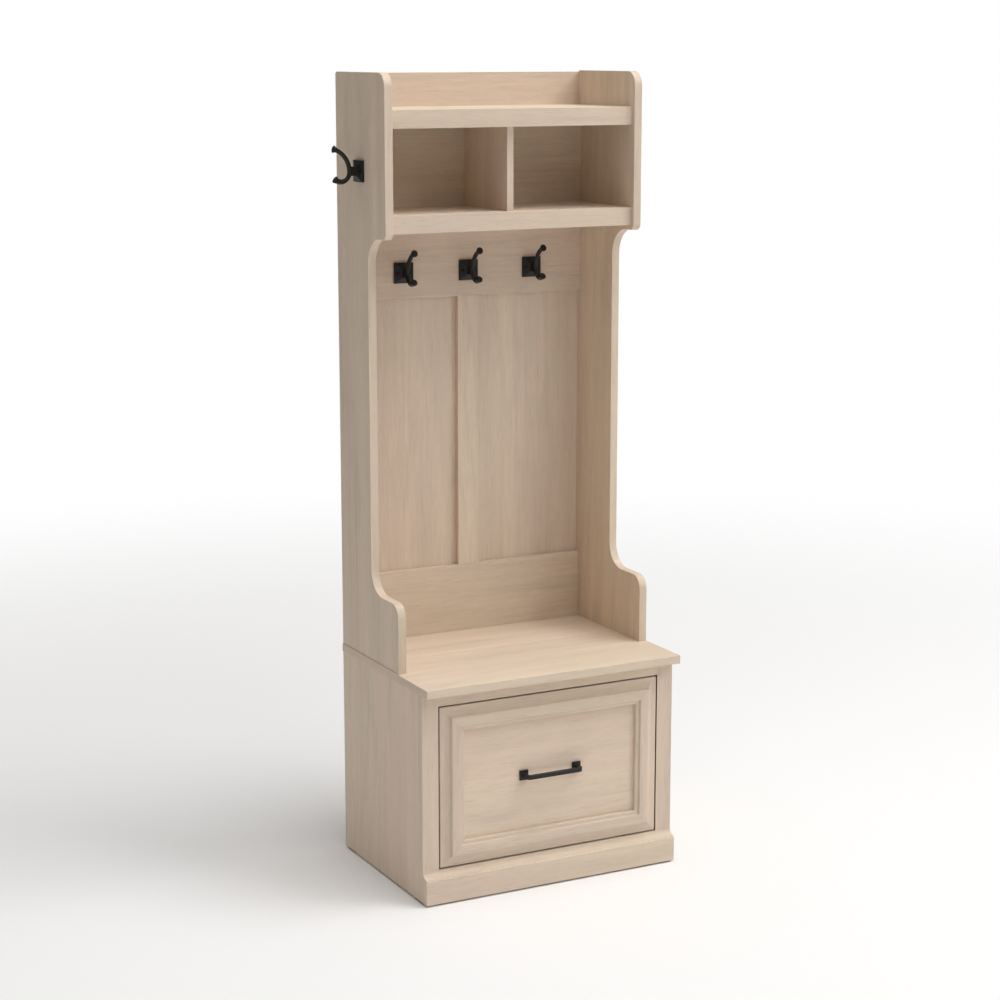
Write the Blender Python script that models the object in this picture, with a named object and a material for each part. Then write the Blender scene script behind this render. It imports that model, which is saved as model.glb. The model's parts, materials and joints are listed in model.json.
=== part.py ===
"""Hall tree: a bench cabinet with one deep drawer, and a hutch with two cubbies and coat hooks.

The front faces -Y. The origin is on the floor, at the centre of the footprint.
Most depths are stated as a distance behind the face, the front plane of the stiles.
"""
import bisect
import math

import bmesh
import bpy
from mathutils import Matrix, Vector

MM = 0.001
GAP = 0.3 * MM                      # clearance between two pieces that touch

# Boards
BOARD = 18 * MM                     # sides, shelves, rails, bench top
DIVIDER_BOARD = 15 * MM
BACK_BOARD = 13 * MM                # hook rail, centre stile, lower rail and cubby back
HARDBOARD = 3 * MM                  # thin backs
BOX_BOARD = 12 * MM                 # drawer box
BOARD_CHAMFER = 0.7 * MM

# Overall
BODY_WIDTH = 608 * MM
BODY_DEPTH = 404.5 * MM             # from the face to the back of the hardboard
BENCH_WIDTH = 612 * MM
BENCH_OVERHANG = 30 * MM            # in front of the face
BENCH_TOP_Z = 476 * MM
HUTCH_TOP_Z = 1725 * MM
GLIDE_HEIGHT = 4 * MM
GLIDE_WIDTH = 14 * MM
GLIDE_LENGTH = 45 * MM
GLIDE_DEPTHS = (27 * MM, 374 * MM)

# Face frame and plinth
STILE_WIDTH = 37.8 * MM
OPENING_BOTTOM_Z = 72.7 * MM
OPENING_TOP_Z = 430 * MM
PLINTH_PROUD = 18.5 * MM            # how far the plinth stands in front of the face
PLINTH_LIP = 1.2 * MM               # top of the cove along the plinth's upper edge
PLINTH_COVE_HEIGHT = 12.6 * MM
PLINTH_NECK_HEIGHT = 2.2 * MM       # upright band under the cove
PLINTH_ROUND = 2.5 * MM             # radius of the step under that band

# Drawer
DRAWER_REVEAL = 3.2 * MM            # open line between the drawer front and the face frame
FRONT_BACK_DEPTH = 11 * MM          # back of the drawer front, behind the face
FRAME_PROUD = 11 * MM               # flat of the raised moulding, in front of the face
BORDER_LAND = 4 * MM                # flat outer part of the border around the moulding
BORDER_WIDTH = 22.3 * MM            # whole border, flat and coved
SHOULDER_RADIUS = 4 * MM            # outer edge of the raised moulding
MOULDING_INSET = 45.3 * MM            # inner edge of the moulding's flat
BEAD_PROUD = 6.6 * MM               # the bead that frames the panel
BEAD_RADIUS = 3 * MM
LIP_INSET = 54.3 * MM               # inner edge of the bead
PANEL_EDGE_INSET = 48 * MM          # edge of the panel, hidden behind the bead
PANEL_DEPTH = 2 * MM                # front of the panel, behind the face
BOX_FRONT_DEPTH = 11.3 * MM
BOX_LENGTH = 350 * MM
BOX_SIDE_Z = (92 * MM, 372 * MM)
BOX_BOTTOM_Z = 104 * MM
BOX_BOTTOM_THICKNESS = 6 * MM
GROOVE_DEPTH = 6 * MM
BOX_BACK_INSET = 6 * MM             # drawer back, from the rear ends of the drawer sides

# Drawer slides: cabinet member, intermediate member, drawer member
SLIDE_Z = 232 * MM
SLIDE_LENGTH = 350 * MM
SLIDE_FRONT_DEPTH = 14 * MM
SLIDE_WIDTH = 12.7 * MM
SLIDE_SHEET = 1.2 * MM
SLIDE_HEIGHTS = (45 * MM, 37 * MM, 27 * MM)
SLIDE_FLANGES = (9 * MM, 7.7 * MM, 6.2 * MM)
MIDDLE_SETBACK = 2.4 * MM           # web of the intermediate member, from the cabinet member's web
SPACER_Z = (200 * MM, 264 * MM)     # block that packs out the slide to the face frame
SPACER_SETBACK = 20 * MM            # its rear end, in front of the back

# Pull
PULL_CENTRES = 128 * MM
PULL_PROJECTION = 28 * MM
PULL_BAR = 9 * MM
PULL_CORNER = 6 * MM                # radius of the bar's centre line at its corners
PULL_FOOT = Vector((20 * MM, 4 * MM, 22 * MM))

# Hutch
ARM_DEPTH = 112 * MM                # front of the low arm section, behind the face
WAIST_DEPTH = 247 * MM              # front of the narrow middle
BOX_DEPTH = 157 * MM                # front of the upper box section
TOP_CORNER_RADIUS = 30 * MM
BOX_FOOT_Z = 1386 * MM
BOX_FOOT_RADIUS = 14 * MM
UPPER_CURVE_RADIUS = 58 * MM
LOWER_CURVE_RADIUS = 53 * MM
ARM_TOP_Z = 625 * MM
ARM_CORNER_RADIUS = 30 * MM
RAIL_SETBACK = 11 * MM              # shelf rails, behind the front of the box section
RAIL_HEIGHT = 38 * MM
TOP_SHELF_Z = 1650 * MM             # upper face
LOWER_SHELF_Z = 1435 * MM           # upper face
HOOK_RAIL_FOOT_Z = 1237.5 * MM
LOWER_RAIL_TOP_Z = 629 * MM
CENTRE_STILE_WIDTH = 50 * MM
BACK_TOP_Z = 1722 * MM

# Hooks
HOOK_PLATE = 45 * MM
HOOK_PLATE_THICKNESS = 5.5 * MM      # at its edges
HOOK_CROWN = (12 * MM, 22 * MM)      # top of the plate's shallow pyramid
HOOK_CROWN_HEIGHT = 9 * MM
HOOK_NECK = (9.5 * MM, 19 * MM)
HOOK_SPACING = 157.5 * MM
HOOK_Z = 1294 * MM
SIDE_HOOK_Z = 1522 * MM
SIDE_HOOK_DEPTH = 282.5 * MM
ARM_RADIUS = 4.8 * MM
UPPER_ARM_CENTRE = (73.2 * MM, -1.5 * MM)    # outwards from the wall, up from the plate's centre
UPPER_ARM_RADIUS = 49.7 * MM
UPPER_ARM_END = math.radians(104)
LOWER_ARM_CENTRE = (43.1 * MM, -1.8 * MM)
LOWER_ARM_RADIUS = 19.6 * MM
LOWER_ARM_END = math.radians(307)
LOWER_ARM_TAIL = 4 * MM
BEND_RADIUS = 5.5 * MM               # the arm itself, where it turns up at its lower end
UPPER_FLARE_RADIUS = 8 * MM
LOWER_FLARE_RADIUS = 8.1 * MM
# Shape of a tip: distance from its end, and its radius as a share from the arm's to the flare's
FLARE = ((0, -0.5), (0.5 * MM, 0.3), (1.3 * MM, 0.8), (2.4 * MM, 1.0), (4 * MM, 0.75),
         (6 * MM, 0.38), (8.5 * MM, 0.1), (11 * MM, 0.0))
HOOK_SCREW_OFFSET = 15.5 * MM

# Screws
HOOK_SCREW_LENGTH = 15 * MM
HOOK_SCREW_SEAT = 6 * MM             # flat of the head, from the back of the plate
HOOK_SCREW_HEAD_RADIUS = 3.6 * MM
HOOK_SCREW_HEAD_DEPTH = 2.2 * MM
SCREW_SHANK_RADIUS = 1.7 * MM
PULL_SCREW_REACH = 8 * MM           # length inside the pull's foot
PULL_SCREW_HEAD_RADIUS = 4 * MM
PULL_SCREW_HEAD_HEIGHT = 2.2 * MM

# Worked out from the above
FACE_Y = (BENCH_OVERHANG - BODY_DEPTH) / 2
SIDE_BACK_DEPTH = BODY_DEPTH - HARDBOARD
BACK_BOARD_DEPTH = SIDE_BACK_DEPTH - BACK_BOARD
HALF_BODY = BODY_WIDTH / 2
HALF_INSIDE = HALF_BODY - BOARD
HALF_OPENING = HALF_BODY - STILE_WIDTH
HALF_FRONT = HALF_OPENING - DRAWER_REVEAL
FRONT_BOTTOM_Z = OPENING_BOTTOM_Z + DRAWER_REVEAL
FRONT_TOP_Z = OPENING_TOP_Z - DRAWER_REVEAL
FRONT_CENTRE_Z = (FRONT_BOTTOM_Z + FRONT_TOP_Z) / 2
BENCH_UNDERSIDE_Z = BENCH_TOP_Z - BOARD
SPACER_INNER = HALF_OPENING
CABINET_WEB = SPACER_INNER - GAP
BOX_OUTER = CABINET_WEB - SLIDE_WIDTH
BOX_INNER = BOX_OUTER - BOX_BOARD
RAIL_DEPTH = BOX_DEPTH + RAIL_SETBACK
SHELF_DEPTH = RAIL_DEPTH + BOARD + GAP
FIT = HALF_INSIDE - GAP             # half width of a board fitted between the sides


def clear_scene():
    for old in list(bpy.data.objects):
        bpy.data.objects.remove(old, do_unlink=True)


def make_material(name, color, roughness, metallic=0.0):
    material = bpy.data.materials.new(name)
    material.use_nodes = True
    shader = material.node_tree.nodes["Principled BSDF"]
    shader.inputs["Base Color"].default_value = (*color, 1.0)
    shader.inputs["Roughness"].default_value = roughness
    shader.inputs["Metallic"].default_value = metallic
    return material


def depth_y(depth):
    """World Y of a plane that lies this far behind the face."""
    return FACE_Y + depth


def add_object(name, bm, material, location=(0, 0, 0), rotation_z=0.0, parent=None):
    """Turn a bmesh into a named object with its faces pointing out."""
    bmesh.ops.recalc_face_normals(bm, faces=bm.faces)
    mesh = bpy.data.meshes.new(name)
    bm.to_mesh(mesh)
    bm.free()
    mesh.materials.append(material)
    return place(name, mesh, location, rotation_z, parent)


def place(name, mesh, location=(0, 0, 0), rotation_z=0.0, parent=None):
    piece = bpy.data.objects.new(name, mesh)
    bpy.context.collection.objects.link(piece)
    piece.location = location
    piece.rotation_euler = (0, 0, rotation_z)
    if parent is not None:
        piece.parent = parent
        piece.location = Vector(location) - parent.location
    return piece


def add_empty(name, location):
    empty = bpy.data.objects.new(name, None)
    bpy.context.collection.objects.link(empty)
    empty.location = location
    return empty


def box_mesh(size, chamfer=0.0):
    bm = bmesh.new()
    bmesh.ops.create_cube(bm, size=1.0)
    bmesh.ops.scale(bm, vec=size, verts=bm.verts)
    if chamfer:
        bmesh.ops.bevel(bm, geom=bm.edges[:], offset=chamfer, segments=1, affect="EDGES")
    return bm


def add_board(name, x, depth, z, material, parent=None):
    """A flat board between two x, two depths behind the face and two z, with eased edges."""
    low = Vector((x[0], depth_y(depth[0]), z[0]))
    high = Vector((x[1], depth_y(depth[1]), z[1]))
    bm = box_mesh(high - low, BOARD_CHAMFER)
    return add_object(name, bm, material, (low + high) / 2, parent=parent)


def prism_mesh(outline, axis, start, end):
    """Extrude a closed outline, a list of pairs in the two other axes, from start to end."""
    bm = bmesh.new()
    loops = []
    for level in (start, end):
        ring = []
        for first, second in outline:
            point = [first, second]
            point.insert(axis, level)
            ring.append(bm.verts.new(point))
        loops.append(ring)
    bm.faces.new(loops[0])
    bm.faces.new(loops[1])
    count = len(outline)
    for i in range(count):
        j = (i + 1) % count
        bm.faces.new((loops[0][i], loops[0][j], loops[1][j], loops[1][i]))
    return bm


def arc(centre, radius, start_degrees, end_degrees, steps):
    points = []
    for i in range(steps + 1):
        angle = math.radians(start_degrees + (end_degrees - start_degrees) * i / steps)
        points.append((centre[0] + radius * math.cos(angle), centre[1] + radius * math.sin(angle)))
    return points


def turned_mesh(profile, segments):
    """Turn a profile of (radius, height) pairs about Z; it starts and ends on the axis."""
    bm = bmesh.new()
    verts = [bm.verts.new((radius, 0, height)) for radius, height in profile]
    edges = [bm.edges.new(pair) for pair in zip(verts, verts[1:])]
    bmesh.ops.spin(bm, geom=verts + edges, cent=(0, 0, 0), axis=(0, 0, 1), angle=math.tau,
                   steps=segments, use_merge=True)
    bmesh.ops.remove_doubles(bm, verts=bm.verts, dist=0.01 * MM)
    bmesh.ops.recalc_face_normals(bm, faces=bm.faces)
    return bm


def combine(target, tools, operation):
    """Apply an exact Boolean of target with each tool mesh, and return the resulting mesh."""
    base = bpy.data.objects.new("boolean_base", target)
    bpy.context.collection.objects.link(base)
    helpers = [base]
    for tool in tools:
        helper = bpy.data.objects.new("boolean_tool", tool)
        bpy.context.collection.objects.link(helper)
        modifier = base.modifiers.new("cut", "BOOLEAN")
        modifier.operation = operation
        modifier.solver = "EXACT"
        modifier.object = helper
        helpers.append(helper)
    bpy.context.view_layer.update()
    graph = bpy.context.evaluated_depsgraph_get()
    result = bpy.data.meshes.new_from_object(base.evaluated_get(graph))
    for helper in helpers:
        bpy.data.objects.remove(helper, do_unlink=True)
    return result


def to_mesh(bm, matrix=None):
    bmesh.ops.recalc_face_normals(bm, faces=bm.faces)
    if matrix is not None:
        bmesh.ops.transform(bm, matrix=matrix, verts=bm.verts)
    mesh = bpy.data.meshes.new("tool")
    bm.to_mesh(mesh)
    bm.free()
    return mesh


def drill(piece, tools):
    """Cut tool meshes, given in world space, out of a piece that isn't rotated."""
    for tool in tools:
        tool.transform(Matrix.Translation(-piece.matrix_basis.translation - parent_offset(piece)))
    result = combine(piece.data, tools, "DIFFERENCE")
    piece.data = result


def parent_offset(piece):
    return piece.parent.location if piece.parent else Vector((0, 0, 0))


def screw_hole(length, radius, segments=12):
    """A hole of this length along -Z from the origin, a little open above it."""
    return turned_mesh([(0, MM), (radius, MM), (radius, -length), (0, -length)], segments)


def shade_smooth(mesh, degrees=35):
    mesh.shade_smooth()
    mesh.set_sharp_from_angle(angle=math.radians(degrees))


# ---------------------------------------------------------------- cabinet

def plinth_profile():
    """Outline of the plinth board as (y, z), from its back foot round over the moulded front."""
    back = depth_y(-GAP)
    top = OPENING_BOTTOM_Z - GAP
    front = depth_y(-PLINTH_PROUD)
    neck = front + PLINTH_ROUND
    ease = 0.6 * MM
    cove_reach = depth_y(-PLINTH_LIP) - neck - ease
    cove_foot = top - PLINTH_COVE_HEIGHT
    points = [(back, GLIDE_HEIGHT), (back, top)]
    for along, up in arc((0, 0), 1, 0, -90, 8):
        points.append((neck + ease + cove_reach * along, top + PLINTH_COVE_HEIGHT * up))
    step_top = cove_foot - PLINTH_NECK_HEIGHT
    points.append((neck, cove_foot - ease))
    points += arc((neck, step_top - PLINTH_ROUND), PLINTH_ROUND, 90, 180, 4)
    points.append((front, GLIDE_HEIGHT + ease))
    points.append((front + ease, GLIDE_HEIGHT))
    return points


def glide_outline(x, y):
    """A pad with round ends, long in Y."""
    radius = GLIDE_WIDTH / 2
    reach = GLIDE_LENGTH / 2 - radius
    return arc((x, y + reach), radius, 0, 180, 6) + arc((x, y - reach), radius, 180, 360, 6)


def build_cabinet(wood, plain, glide_plastic):
    side_z = (GLIDE_HEIGHT, BENCH_UNDERSIDE_Z - GAP)
    side_depth = (BOARD + GAP, SIDE_BACK_DEPTH - GAP)
    for side, sign in (("left", -1), ("right", 1)):
        outer = sign * HALF_BODY
        x = sorted((outer, sign * HALF_INSIDE))
        add_board(f"cabinet_{side}_side", x, side_depth, side_z, wood)
        x = sorted((outer, sign * HALF_OPENING))
        add_board(f"{side}_stile", x, (0, BOARD), side_z, wood)
        x = sorted((sign * SPACER_INNER, sign * FIT))
        spacer_depth = (BOARD + GAP, SIDE_BACK_DEPTH - SPACER_SETBACK)
        add_board(f"{side}_slide_spacer", x, spacer_depth, SPACER_Z, plain)
        for end, glide_depth in zip(("front", "rear"), GLIDE_DEPTHS):
            centre_x = sign * (HALF_BODY - BOARD / 2)
            outline = glide_outline(centre_x, depth_y(glide_depth))
            bm = prism_mesh(outline, 2, 0, GLIDE_HEIGHT - GAP)
            add_object(f"{end}_{side}_glide", bm, glide_plastic)
    rail = (-HALF_OPENING + GAP, HALF_OPENING - GAP)
    add_board("top_rail", rail, (0, BOARD), (OPENING_TOP_Z, BENCH_UNDERSIDE_Z - GAP), wood)
    plinth = prism_mesh(plinth_profile(), 0, -HALF_BODY, HALF_BODY)
    add_object("plinth_board", plinth, wood)

    notch = HALF_OPENING - GAP
    shoulder = depth_y(BOARD + GAP)
    front = depth_y(GAP)
    back = depth_y(SIDE_BACK_DEPTH - GAP)
    outline = [(-notch, front), (notch, front), (notch, shoulder), (FIT, shoulder),
               (FIT, back), (-FIT, back), (-FIT, shoulder), (-notch, shoulder)]
    top = OPENING_BOTTOM_Z - GAP
    add_object("cabinet_bottom", prism_mesh(outline, 2, top - BOARD, top), plain)
    body = (-HALF_BODY, HALF_BODY)
    add_board("cabinet_back", body, (SIDE_BACK_DEPTH, BODY_DEPTH), side_z, plain)
    bench = (-BENCH_WIDTH / 2, BENCH_WIDTH / 2)
    bench_z = (BENCH_UNDERSIDE_Z, BENCH_TOP_Z)
    add_board("bench_top", bench, (-BENCH_OVERHANG, BODY_DEPTH), bench_z, wood)


# ---------------------------------------------------------------- drawer

def moulding_profile():
    """Outline of the drawer front's frame, as (inset from its outer edge, depth)."""
    cove_reach = BORDER_WIDTH - BORDER_LAND
    cove_rise = FRAME_PROUD - SHOULDER_RADIUS
    points = [(0, FRONT_BACK_DEPTH), (0, 1 * MM), (0.8 * MM, 0.1 * MM)]
    for along, up in arc((0, 0), 1, 90, 0, 8):
        points.append((BORDER_LAND + cove_reach * along, cove_rise * (up - 1)))
    shoulder_centre = (BORDER_WIDTH + SHOULDER_RADIUS, -cove_rise)
    points += arc(shoulder_centre, SHOULDER_RADIUS, 180, 270, 5)[1:]
    edge_radius = 2 * MM
    points += arc((MOULDING_INSET - edge_radius, edge_radius - FRAME_PROUD), edge_radius, -90, 0, 3)
    hollow_radius = FRAME_PROUD - edge_radius - BEAD_PROUD
    hollow_centre = (MOULDING_INSET + hollow_radius, edge_radius - FRAME_PROUD)
    points += arc(hollow_centre, hollow_radius, 180, 90, 3)[1:]
    points += arc((LIP_INSET - BEAD_RADIUS, BEAD_RADIUS - BEAD_PROUD), BEAD_RADIUS, -90, 0, 5)
    rebate = PANEL_DEPTH - GAP
    points += [(LIP_INSET, rebate), (PANEL_EDGE_INSET, rebate), (PANEL_EDGE_INSET, FRONT_BACK_DEPTH)]
    return points


def mitred_member(length):
    """A frame member along X with mitred ends; its outer edge is up, at z = 0."""
    bm = bmesh.new()
    mitre_gap = 0.7 * GAP
    ends = []
    for sign in (-1, 1):
        ring = []
        for inset, depth in moulding_profile():
            ring.append(bm.verts.new((sign * (length / 2 - inset - mitre_gap), depth, -inset)))
        ends.append(ring)
    bm.faces.new(ends[0])
    bm.faces.new(ends[1])
    count = len(ends[0])
    for i in range(count):
        j = (i + 1) % count
        bm.faces.new((ends[0][i], ends[0][j], ends[1][j], ends[1][i]))
    return bm


def build_drawer_front(wood, carriage):
    height = FRONT_TOP_Z - FRONT_BOTTOM_Z
    members = (("drawer_front_top_rail", 2 * HALF_FRONT, 0, (0, FRONT_TOP_Z)),
               ("drawer_front_bottom_rail", 2 * HALF_FRONT, 180, (0, FRONT_BOTTOM_Z)),
               ("drawer_front_left_stile", height, -90, (-HALF_FRONT, FRONT_CENTRE_Z)),
               ("drawer_front_right_stile", height, 90, (HALF_FRONT, FRONT_CENTRE_Z)))
    for name, length, turn, (x, z) in members:
        bm = mitred_member(length)
        rotation = Matrix.Rotation(math.radians(turn), 4, "Y")
        bmesh.ops.transform(bm, matrix=rotation, verts=bm.verts)
        add_object(name, bm, wood, (x, FACE_Y, z), parent=carriage)
    inset = PANEL_EDGE_INSET + GAP
    x = (-HALF_FRONT + inset, HALF_FRONT - inset)
    z = (FRONT_BOTTOM_Z + inset, FRONT_TOP_Z - inset)
    panel = add_board("drawer_front_panel", x, (PANEL_DEPTH, FRONT_BACK_DEPTH), z, wood, carriage)
    holes = []
    for sign in (-1, 1):
        hole = screw_hole(FRONT_BACK_DEPTH - PANEL_DEPTH + MM, SCREW_SHANK_RADIUS + GAP)
        matrix = Matrix.Translation((sign * PULL_CENTRES / 2, depth_y(FRONT_BACK_DEPTH), FRONT_CENTRE_Z))
        holes.append(to_mesh(hole, matrix @ Matrix.Rotation(math.radians(-90), 4, "X")))
    drill(panel, holes)


def build_drawer_box(plain, carriage):
    groove = (BOX_BOTTOM_Z - GAP, BOX_BOTTOM_Z + BOX_BOTTOM_THICKNESS + GAP)
    start = depth_y(BOX_FRONT_DEPTH)
    for side, sign in (("left", -1), ("right", 1)):
        outer = sign * BOX_OUTER
        inner = sign * BOX_INNER
        floor = sign * (BOX_INNER + GROOVE_DEPTH)
        outline = [(outer, BOX_SIDE_Z[0]), (inner, BOX_SIDE_Z[0]), (inner, groove[0]),
                   (floor, groove[0]), (floor, groove[1]), (inner, groove[1]),
                   (inner, BOX_SIDE_Z[1]), (outer, BOX_SIDE_Z[1])]
        bm = prism_mesh(outline, 1, start, start + BOX_LENGTH)
        location = carriage.location.copy()
        bmesh.ops.translate(bm, vec=-location, verts=bm.verts)
        add_object(f"drawer_{side}_side", bm, plain, location, parent=carriage)
    inside = (-BOX_INNER + GAP, BOX_INNER - GAP)
    back_depth = BOX_FRONT_DEPTH + BOX_LENGTH
    back_z = (groove[1], BOX_SIDE_Z[1])
    rear = back_depth - BOX_BACK_INSET
    add_board("drawer_back", inside, (rear - BOX_BOARD, rear), back_z, plain, carriage)
    half = BOX_INNER + GROOVE_DEPTH - GAP
    z = (BOX_BOTTOM_Z, BOX_BOTTOM_Z + BOX_BOTTOM_THICKNESS)
    add_board("drawer_bottom", (-half, half), (BOX_FRONT_DEPTH, back_depth), z, plain, carriage)


def pull_mesh():
    """A square bar bent to a U between two square feet; the panel is at y = 0, outwards is -Y."""
    half = PULL_CENTRES / 2
    run = PULL_PROJECTION - PULL_BAR / 2
    path = [(-half, PULL_FOOT.y / 2)]
    path += arc((-half + PULL_CORNER, run - PULL_CORNER), PULL_CORNER, 180, 90, 5)
    path += arc((half - PULL_CORNER, run - PULL_CORNER), PULL_CORNER, 90, 0, 5)
    path.append((half, PULL_FOOT.y / 2))
    bm = bmesh.new()
    rings = []
    for i, (x, out) in enumerate(path):
        before = Vector(path[max(i - 1, 0)])
        after = Vector(path[min(i + 1, len(path) - 1)])
        along = (after - before).normalized()
        side = Vector((along.y, -along.x))
        ring = []
        for across, up in section_outline(PULL_BAR / 2, 1.2 * MM):
            ring.append(bm.verts.new((x + side.x * across, -(out + side.y * across), up)))
        rings.append(ring)
    skin_rings(bm, rings)
    tools = []
    for sign in (-1, 1):
        foot = box_mesh(PULL_FOOT, 0.8 * MM)
        tools.append(to_mesh(foot, Matrix.Translation((sign * half, -PULL_FOOT.y / 2, 0))))
    joined = combine(to_mesh(bm), tools, "UNION")
    holes = []
    for sign in (-1, 1):
        hole = screw_hole(PULL_SCREW_REACH + MM, SCREW_SHANK_RADIUS + GAP)
        matrix = Matrix.Translation((sign * half, 0, 0)) @ Matrix.Rotation(math.radians(-90), 4, "X")
        holes.append(to_mesh(hole, matrix))
    return combine(joined, holes, "DIFFERENCE")


def section_outline(half, chamfer):
    """A square with chamfered corners."""
    inner = half - chamfer
    return [(half, -inner), (half, inner), (inner, half), (-inner, half),
            (-half, inner), (-half, -inner), (-inner, -half), (inner, -half)]


def skin_rings(bm, rings):
    """Join rings of equal length with faces, and close both ends."""
    count = len(rings[0])
    for first, second in zip(rings, rings[1:]):
        for i in range(count):
            j = (i + 1) % count
            bm.faces.new((first[i], first[j], second[j], second[i]))
    bm.faces.new(rings[0])
    bm.faces.new(rings[-1])


def pull_screw_mesh():
    """A pan-head screw that points to -Y, with the underside of its head at y = 0."""
    reach = FRONT_BACK_DEPTH - PANEL_DEPTH + GAP + PULL_SCREW_REACH
    profile = [(0, PULL_SCREW_HEAD_HEIGHT), (PULL_SCREW_HEAD_RADIUS * 0.7, PULL_SCREW_HEAD_HEIGHT),
               (PULL_SCREW_HEAD_RADIUS, PULL_SCREW_HEAD_HEIGHT * 0.5), (PULL_SCREW_HEAD_RADIUS, 0),
               (SCREW_SHANK_RADIUS, 0), (SCREW_SHANK_RADIUS, -reach), (0, -reach)]
    bm = turned_mesh(profile, 12)
    mesh = to_mesh(bm, Matrix.Rotation(math.radians(-90), 4, "X"))
    shade_smooth(mesh)
    return mesh


def build_pull(metal, steel, carriage):
    mesh = pull_mesh()
    mesh.materials.clear()
    mesh.materials.append(metal)
    place("drawer_pull", mesh, (0, depth_y(PANEL_DEPTH - GAP), FRONT_CENTRE_Z), parent=carriage)
    screw = pull_screw_mesh()
    screw.materials.append(steel)
    for side, sign in (("left", -1), ("right", 1)):
        location = (sign * PULL_CENTRES / 2, depth_y(FRONT_BACK_DEPTH + GAP), FRONT_CENTRE_Z)
        place(f"pull_{side}_screw", screw, location, parent=carriage)


def channel_outline(web, flange, height, sign):
    """A C-section as (x, z) about z = 0: its web at x = web, its flanges run by flange."""
    half = height / 2
    sheet = SLIDE_SHEET
    tip = web + flange
    inner = web + math.copysign(sheet, flange)
    points = [(web, -half), (tip, -half), (tip, -half + sheet), (inner, -half + sheet),
              (inner, half - sheet), (tip, half - sheet), (tip, half), (web, half)]
    return [(sign * x, z) for x, z in points]


def build_slides(steel, carriage):
    start = depth_y(SLIDE_FRONT_DEPTH)
    webs = (CABINET_WEB, CABINET_WEB - MIDDLE_SETBACK, BOX_OUTER + GAP)
    flanges = (-SLIDE_FLANGES[0], -SLIDE_FLANGES[1], SLIDE_FLANGES[2])
    members = ("cabinet_slide", "middle_slide", "drawer_slide")
    parents = (None, None, carriage)
    for side, sign in (("left", -1), ("right", 1)):
        for member, web, flange, height, parent in zip(members, webs, flanges, SLIDE_HEIGHTS, parents):
            outline = channel_outline(web, flange, height, sign)
            bm = prism_mesh(outline, 1, 0, SLIDE_LENGTH)
            add_object(f"{side}_{member}", bm, steel, (0, start, SLIDE_Z), parent=parent)


# ---------------------------------------------------------------- hutch

def side_outline():
    """Outline of a hutch side as (y, z), counter-clockwise seen from +X, from its back foot."""
    back = depth_y(SIDE_BACK_DEPTH - GAP)
    foot = BENCH_TOP_Z + GAP
    arm = depth_y(ARM_DEPTH)
    waist = depth_y(WAIST_DEPTH)
    box = depth_y(BOX_DEPTH)
    points = [(back, foot), (back, HUTCH_TOP_Z)]
    top_centre = (box + TOP_CORNER_RADIUS, HUTCH_TOP_Z - TOP_CORNER_RADIUS)
    points += arc(top_centre, TOP_CORNER_RADIUS, 90, 180, 7)
    foot_centre = (box + BOX_FOOT_RADIUS, BOX_FOOT_Z + BOX_FOOT_RADIUS)
    points += arc(foot_centre, BOX_FOOT_RADIUS, 180, 270, 5)
    curve_centre = (waist - UPPER_CURVE_RADIUS, BOX_FOOT_Z - UPPER_CURVE_RADIUS)
    points += arc(curve_centre, UPPER_CURVE_RADIUS, 90, 0, 9)
    curve_centre = (waist - LOWER_CURVE_RADIUS, ARM_TOP_Z + LOWER_CURVE_RADIUS)
    points += arc(curve_centre, LOWER_CURVE_RADIUS, 0, -90, 9)
    arm_centre = (arm + ARM_CORNER_RADIUS, ARM_TOP_Z - ARM_CORNER_RADIUS)
    points += arc(arm_centre, ARM_CORNER_RADIUS, 90, 180, 7)
    points.append((arm, foot))
    return points


def build_hutch_sides(wood):
    for side, sign in (("left", -1), ("right", 1)):
        x = sorted((sign * HALF_INSIDE, sign * HALF_BODY))
        bm = prism_mesh(side_outline(), 0, x[0], x[1])
        piece = add_object(f"hutch_{side}_side", bm, wood)
        holes = []
        for offset in (-HOOK_SCREW_OFFSET, HOOK_SCREW_OFFSET):
            hole = screw_hole(HOOK_SCREW_LENGTH - HOOK_SCREW_SEAT + MM, SCREW_SHANK_RADIUS + GAP)
            y = depth_y(SIDE_HOOK_DEPTH) + offset
            shift = Matrix.Translation((sign * HALF_BODY, y, SIDE_HOOK_Z))
            holes.append(to_mesh(hole, shift @ Matrix.Rotation(math.radians(90 * sign), 4, "Y")))
        drill(piece, holes)


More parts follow.
